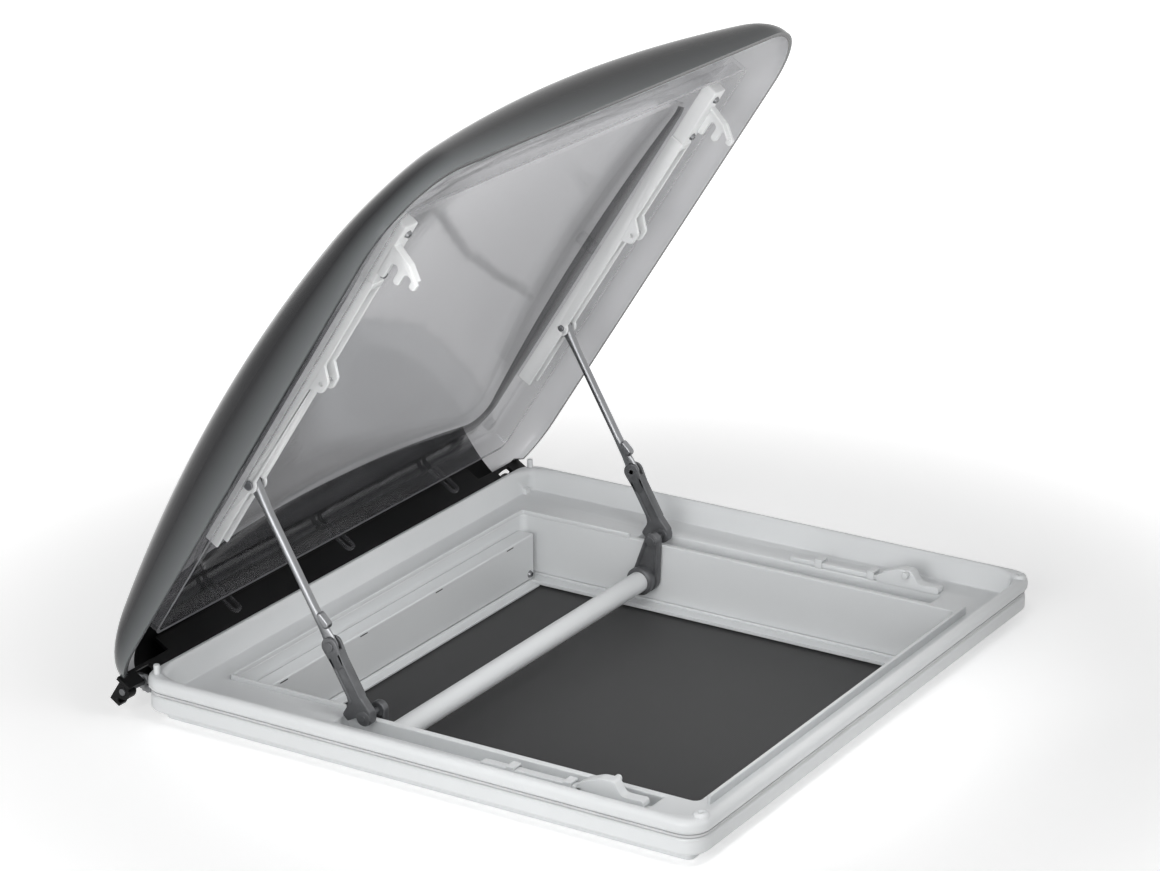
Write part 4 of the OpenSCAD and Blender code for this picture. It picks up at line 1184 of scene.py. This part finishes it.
class VENT_OT_rails(VentOperator, bpy.types.Operator):
    """Side rails, notched hooks and strut pins of the lid"""

    bl_idname = "vent.rails"
    bl_label = "Rails and hooks"

    def build(self, size):
        for side in SIDES:
            self.add_rail(side)
            self.add_hook(side)
        dressed("steel_strut_pins", "strut_pins", size.small_edge, "lid", "steel")

    def add_rail(self, side):
        """Channel rail with two ears, each a three-cornered plate with a hole near its tip."""
        node = "rail_" + side
        edge = local_box("inner_pane", LID)[0].z
        low, high = local_box(node, LID)
        eye_half, thick, proud = 10 * MM, 2.6 * MM, 0.2 * MM
        bm = merged(node, LID)
        tips = [vert.co.x for vert in bm.verts if vert.co.z < low.z + 0.5 * MM]
        hole_x, hole_z = (min(tips) + max(tips)) / 2, low.z + 4.4 * MM
        cut(bm, (0, 0, edge - 0.05 * MM), (0, 0, 1))
        plain_eyes = [vert for vert in bm.verts
                      if vert.co.z < edge - 0.1 * MM and abs(vert.co.x - hole_x) < eye_half]
        bmesh.ops.delete(bm, geom=plain_eyes, context="VERTS")
        close_gaps(bm)
        whole_faces(bm)
        mesh = bevelled(mesh_from(node, bm, "lid_white_painted_light"), 0.8 * MM)
        bm = bmesh.new()
        bm.from_mesh(mesh)
        ear = rounded_outline([
            (hole_x, -10, edge, 1.5, 0), (hole_x, -5.6, low.z, 0, 4.4), (hole_x, 4.6, low.z, 0, 4.4),
            (hole_x, 14, edge, 1.5, 0)])
        for y in (low.y - proud, high.y + proud - thick):
            add_eye_plate(bm, ear, (hole_x, hole_z), 1.8 * MM, y, y + thick, 0.5 * MM)
        bm.transform(LID)
        piece("moulded_" + node, mesh_from(node, bm, "lid_white_painted_light"), "lid", "white_plastic", node)

    def add_hook(self, side):
        """Block at the rail's end with a plate of two round notches and a stiffening flange."""
        low, high = local_box("hook_right", LID)
        base = local_box("rail_right", LID)[0].z + 8.5 * MM
        notch_x, plate_y = low.x + 20.7 * MM, high.y - 3 * MM
        upper = low.z + 19.7 * MM
        lower = upper - 11.5 * MM
        r = 3.1
        plate = rounded_outline([
            (notch_x, -12, base, 2, 0), (notch_x, -11, upper, r, 1.6), (notch_x, r, upper, r, r),
            (notch_x, r, upper, -r, r), (notch_x, -8.5, upper, -r, 2.4), (notch_x, -8.5, lower, r, 2.4),
            (notch_x, r, lower, r, r), (notch_x, r, lower, -r, r), (notch_x, -3, lower, -r, 1.4),
            (notch_x, -3.5, low.z, 0, 2), (notch_x, 2, low.z, 0, 2), (notch_x, 9.8, lower, 3, 3),
            (notch_x, 14, base, 2, 0)])
        flange = rounded_outline([
            (notch_x, 14, base, 1, 0), (notch_x, 9.8, lower, 4, 3), (notch_x, 3, low.z, 2, 0.5),
            (notch_x, 1.5, low.z, 3, 0.5), (notch_x, 7.8, lower, 4, 3), (notch_x, 11.8, base, 1, 0)])
        bm = bmesh.new()
        add_box(bm, (low.x, low.y, base), high, 1.2)
        add_prism(bm, plate, plate_y, high.y, 0.6)
        add_prism(bm, flange, plate_y - 4 * MM, plate_y + 1 * MM, 0.4)
        mirrored(bm, side)
        bm.transform(LID)
        node = "hook_" + side
        piece("moulded_" + node, mesh_from(node, bm, "lid_white_painted_light"), "lid", "white_plastic", node)


class VENT_OT_struts(VentOperator, bpy.types.Operator):
    """Struts, levers and knee pins"""

    bl_idname = "vent.struts"
    bl_label = "Struts"

    def build(self, size):
        low, high = local_box("lever_right", STRUT)
        knee = low.x + 6.5 * MM
        for side in SIDES:
            self.add_strut(size, side, knee, (low.y + high.y) / 2)
            self.add_lever(side, knee, low.y, high.y)
        dressed("steel_knee_pins", "knee_pins", size.small_edge, "struts", "steel", "cast_grey")

    def add_strut(self, size, side, knee, middle):
        """Drawn rod, flattened to an eye in the lid's rail and a tongue at the knee, with a lug near it."""
        rod, top, lug_half = size.rod_d / 2 / MM, 0, 3 * MM
        stations = [
            (top, -5.2, 3.2, 0.6), (top, -4.4, 3.6, 2.9), (top, -2.5, 3.7, 4.6), (top, 0, 3.75, 5.2),
            (top, 3, 3.7, 4.9), (top, 9, 3.5, 4.2), (top, 18, rod, rod * 1.08), (top, 24, rod, rod),
            (knee, -30, rod, rod), (knee, -20, rod * 0.92, rod * 1.15), (knee, -13, 2.0, 4.2),
            (knee, -8, 1.5, 4.8), (knee, 0, 1.5, 5.4), (knee, 3, 1.5, 4.4), (knee, 4.8, 1.4, 2.4),
            (knee, 5.4, 1.2, 0.5)]
        bm = bmesh.new()
        add_loft(bm, [[(x + dx * MM, middle + wide * MM * c, tall * MM * s) for c, s in unit_circle()]
                      for x, dx, wide, tall in stations])
        lug = two_circles((knee, -22, 0, 2.4, 2.4), (knee, -15, 0, 3.6, 3.2))
        add_prism(bm, lug, middle - lug_half, middle + lug_half, 1.4)
        mirrored(bm, side)
        bm.transform(STRUT)
        node = "strut_" + side
        piece("drawn_" + node, mesh_from(node, bm, "steel"), "struts", "cast_grey", node)

    def add_lever(self, side, knee, y0, y1):
        """Cast lever with raised borders, forked at the knee and spread into a foot."""
        foot, sunk, cheek_t = STRUT_LENGTH, 0.6 * MM, 2.2 * MM
        body = rounded_outline([
            (knee, 4, 0, 5.5, 1.5), (foot, -14, 0, 5.2, 12), (foot, -2, 0, 7.2, 4), (foot, 6, 0, 4, 4),
            (foot, 6, 0, -4.5, 4), (foot, -2, 0, -5.4, 3), (foot, -2.2, 0, -14.5, 1.5), (foot, -8, 0, -16, 2),
            (foot, -13, 0, -7, 6), (foot, -22, 0, -5.2, 10), (knee, 4, 0, -5.5, 1.5)])
        bm = bmesh.new()
        add_prism(bm, body, y0 + sunk, y1 - sunk, 0.8)
        for z in (-4.1, 4.1):
            border = two_circles((knee, 8, 0, z, 1.1), (foot, -14, 0, z, 1.1), steps=8)
            add_prism(bm, border, y0, y1, 0.4)
        cheek = two_circles((knee, 0, 0, 0, 6.5), (knee, 12, 0, 0, 5.2))
        for a, b in ((y0, y0 + cheek_t), (y1 - cheek_t, y1)):
            add_prism(bm, cheek, a, b, 0.6)
        add_pin(bm, foot, 0, y0 - sunk, y1 + sunk, 5.4)
        mirrored(bm, side)
        bm.transform(STRUT)
        node = "lever_" + side
        piece("cast_" + node, mesh_from(node, bm, "cast_grey"), "struts", "cast_grey", node)


class VENT_OT_bow(VentOperator, bpy.types.Operator):
    """Bow tube with its cast arms and pivot pins"""

    bl_idname = "vent.bow"
    bl_label = "Bow"

    def build(self, size):
        dressed("white_bow_tube", "bow_tube", size.small_edge, "bow", "white_plastic")
        dressed("steel_pivot_pins", "pivot_pins", size.small_edge, "bow", "steel", "cast_grey")
        for side in SIDES:
            self.add_arm(size, side)

    def add_arm(self, size, side):
        """Cast arm that widens from the pivot to a collar round the tube."""
        low, high = local_box("bow_arm_right")
        tube = local_box("bow_tube")
        tube_x, tube_z = (tube[0].x + tube[1].x) / 2, (tube[0].z + tube[1].z) / 2
        tube_r = size.tube_d / 2 / MM
        collar, bore = tube_r + 3, tube_r + 0.05
        arm_y, hub_y = high.y - 6 * MM, high.y - 6.6 * MM
        plate = two_circles((BOW_FOOT.x, 0, BOW_FOOT.z, 0, 6.2), (tube_x, 0, tube_z, 0, collar), steps=20)
        bm = bmesh.new()
        add_prism(bm, plate, arm_y, high.y, 0.8, sunk_mm=(2.0, 1.4))
        add_pin(bm, BOW_FOOT.x, BOW_FOOT.z, hub_y, high.y, 5)
        section = [
            (low.y, 0, bore), (low.y, 0, collar - 1.4), (low.y, 0.5, collar - 0.5), (low.y, 1.4, collar),
            (low.y, 3.4, collar), (low.y, 4, collar - 0.9), (arm_y, 0, collar - 0.9),
            (high.y, -1, collar - 0.9), (high.y, -1, bore)]
        add_loft(bm, [[(tube_x + r * MM * c, y + dy * MM, tube_z + r * MM * s) for c, s in unit_circle(40)]
                      for y, dy, r in section], hollow=True)
        mirrored(bm, side)
        node = "bow_arm_" + side
        piece("cast_" + node, mesh_from(node, bm, "cast_grey"), "bow", "cast_grey", node)


class VENT_OT_latches(VentOperator, bpy.types.Operator):
    """Wavy latch bars with their pins"""

    bl_idname = "vent.latches"
    bl_label = "Latches"

    def build(self, size):
        low, high = local_box("latch_bar_right")
        tail, head, base, top = low.x, high.x, low.z, high.z
        neck = local_box("latch_keepers")[1].x + 3 * MM
        pin_x, pin_z = head - 26 * MM, top - 3.5 * MM
        strip_y, hump_y = high.y - 6.5 * MM, high.y - 8.8 * MM
        strip = rounded_outline([
            (tail, 0, base, 0, 1), (neck, 4, base, 0, 0), (neck, 4, base, 3.8, 0), (tail, 0, base, 3.6, 1.6)])
        hump = rounded_outline([
            (neck, 0, base, 0, 0.5), (head, 0, base, 0, 2), (head, 0, base, 5.4, 2.4), (pin_x, 9, base, 5, 5),
            (pin_x, 3.6, top, -0.4, 4), (pin_x, -7, top, -0.8, 12), (neck, 7, top, -5, 8),
            (neck, 0, base, 5, 2)], steps=10)
        for side in SIDES:
            bm = bmesh.new()
            add_prism(bm, strip, strip_y, high.y, 0.6)
            add_prism(bm, hump, hump_y, high.y, 1.0)
            add_pin(bm, pin_x, pin_z, low.y, hump_y + 1 * MM, 2.5, segments=24)
            mirrored(bm, side)
            node = "latch_bar_" + side
            piece("moulded_" + node, mesh_from(node, bm, "white_plastic"), "latch_" + side, "white_plastic",
                  node)


class VENT_OT_screws(VentOperator, bpy.types.Operator):
    """Screws of the trim, brackets, cassette, rails and hooks"""

    bl_idname = "vent.screws"
    bl_label = "Screws"

    def build(self, size):
        tree = screw_tree()
        head_h = 2 * MM
        sunk = Vector((0, 0, head_h))
        down, front = Vector((0, 0, -1)), Vector((1, 0, 0))
        for node, body, place, axis, lift, facing, head_r, shank in (
            ("trim_screws", "frame", WORLD, 2, sunk, down, 3.5, 30),
            ("cassette_screws", "frame", WORLD, 0, Vector(), front, 3, 0.5),
            ("rail_screws", "lid", LID, 2, sunk, down, 3, 3),
            ("hook_screws", "lid", LID, 2, sunk, down, 3, 0.5),
        ):
            points = []
            for low, high in solids(node, place):
                seat = (low + high) / 2
                seat[axis] = low[axis]
                points.append(place @ (seat + lift))
            values = {"Head Radius": head_r * MM, "Head Height": head_h, "Shank Radius": 1.5 * MM,
                      "Shank Length": shank * MM, "Recess Width": 0.9 * MM,
                      "Direction": place.to_3x3() @ facing}
            piece("steel_" + node, run_tree(node, tree, points, values, "steel"), body, "steel", node)
        dressed("steel_bracket_screws", "bracket_screws", size.small_edge, "frame", "steel")


class VENT_PT_panel(bpy.types.Panel):
    """Lists the vent's settings and the operators that build it"""

    bl_idname = "VENT_PT_panel"
    bl_label = "Roof vent"
    bl_space_type = "VIEW_3D"
    bl_region_type = "UI"
    bl_category = "Roof vent"

    def draw(self, context):
        """Draws one row for each setting and operator."""
        for group in (context.scene.vent_sizes, context.scene.vent_colours):
            column = self.layout.column(align=True)
            for key in group.__annotations__:
                column.prop(group, key)
        column = self.layout.column(align=True)
        for operator in OPERATORS:
            column.operator(operator.bl_idname)


OPERATORS = (VENT_OT_stage, VENT_OT_frame, VENT_OT_hinge, VENT_OT_blind, VENT_OT_lid, VENT_OT_rails,
             VENT_OT_struts, VENT_OT_bow, VENT_OT_latches, VENT_OT_screws)
CLASSES = (VentSizes, VentColours, *OPERATORS, VENT_PT_panel)


def register():
    """Registers the classes and their settings."""
    for each in CLASSES:
        bpy.utils.register_class(each)
    bpy.types.Scene.vent_sizes = PointerProperty(type=VentSizes)
    bpy.types.Scene.vent_colours = PointerProperty(type=VentColours)


def unregister():
    """Removes the settings and the classes."""
    del bpy.types.Scene.vent_colours
    del bpy.types.Scene.vent_sizes
    for each in reversed(CLASSES):
        bpy.utils.unregister_class(each)


def main():
    """Builds the stage and every piece."""
    register()
    bpy.ops.vent.stage()
    bpy.ops.vent.frame()
    bpy.ops.vent.hinge()
    bpy.ops.vent.blind()
    bpy.ops.vent.lid()
    bpy.ops.vent.rails()
    bpy.ops.vent.struts()
    bpy.ops.vent.bow()
    bpy.ops.vent.latches()
    bpy.ops.vent.screws()


if __name__ == "__main__":
    main()
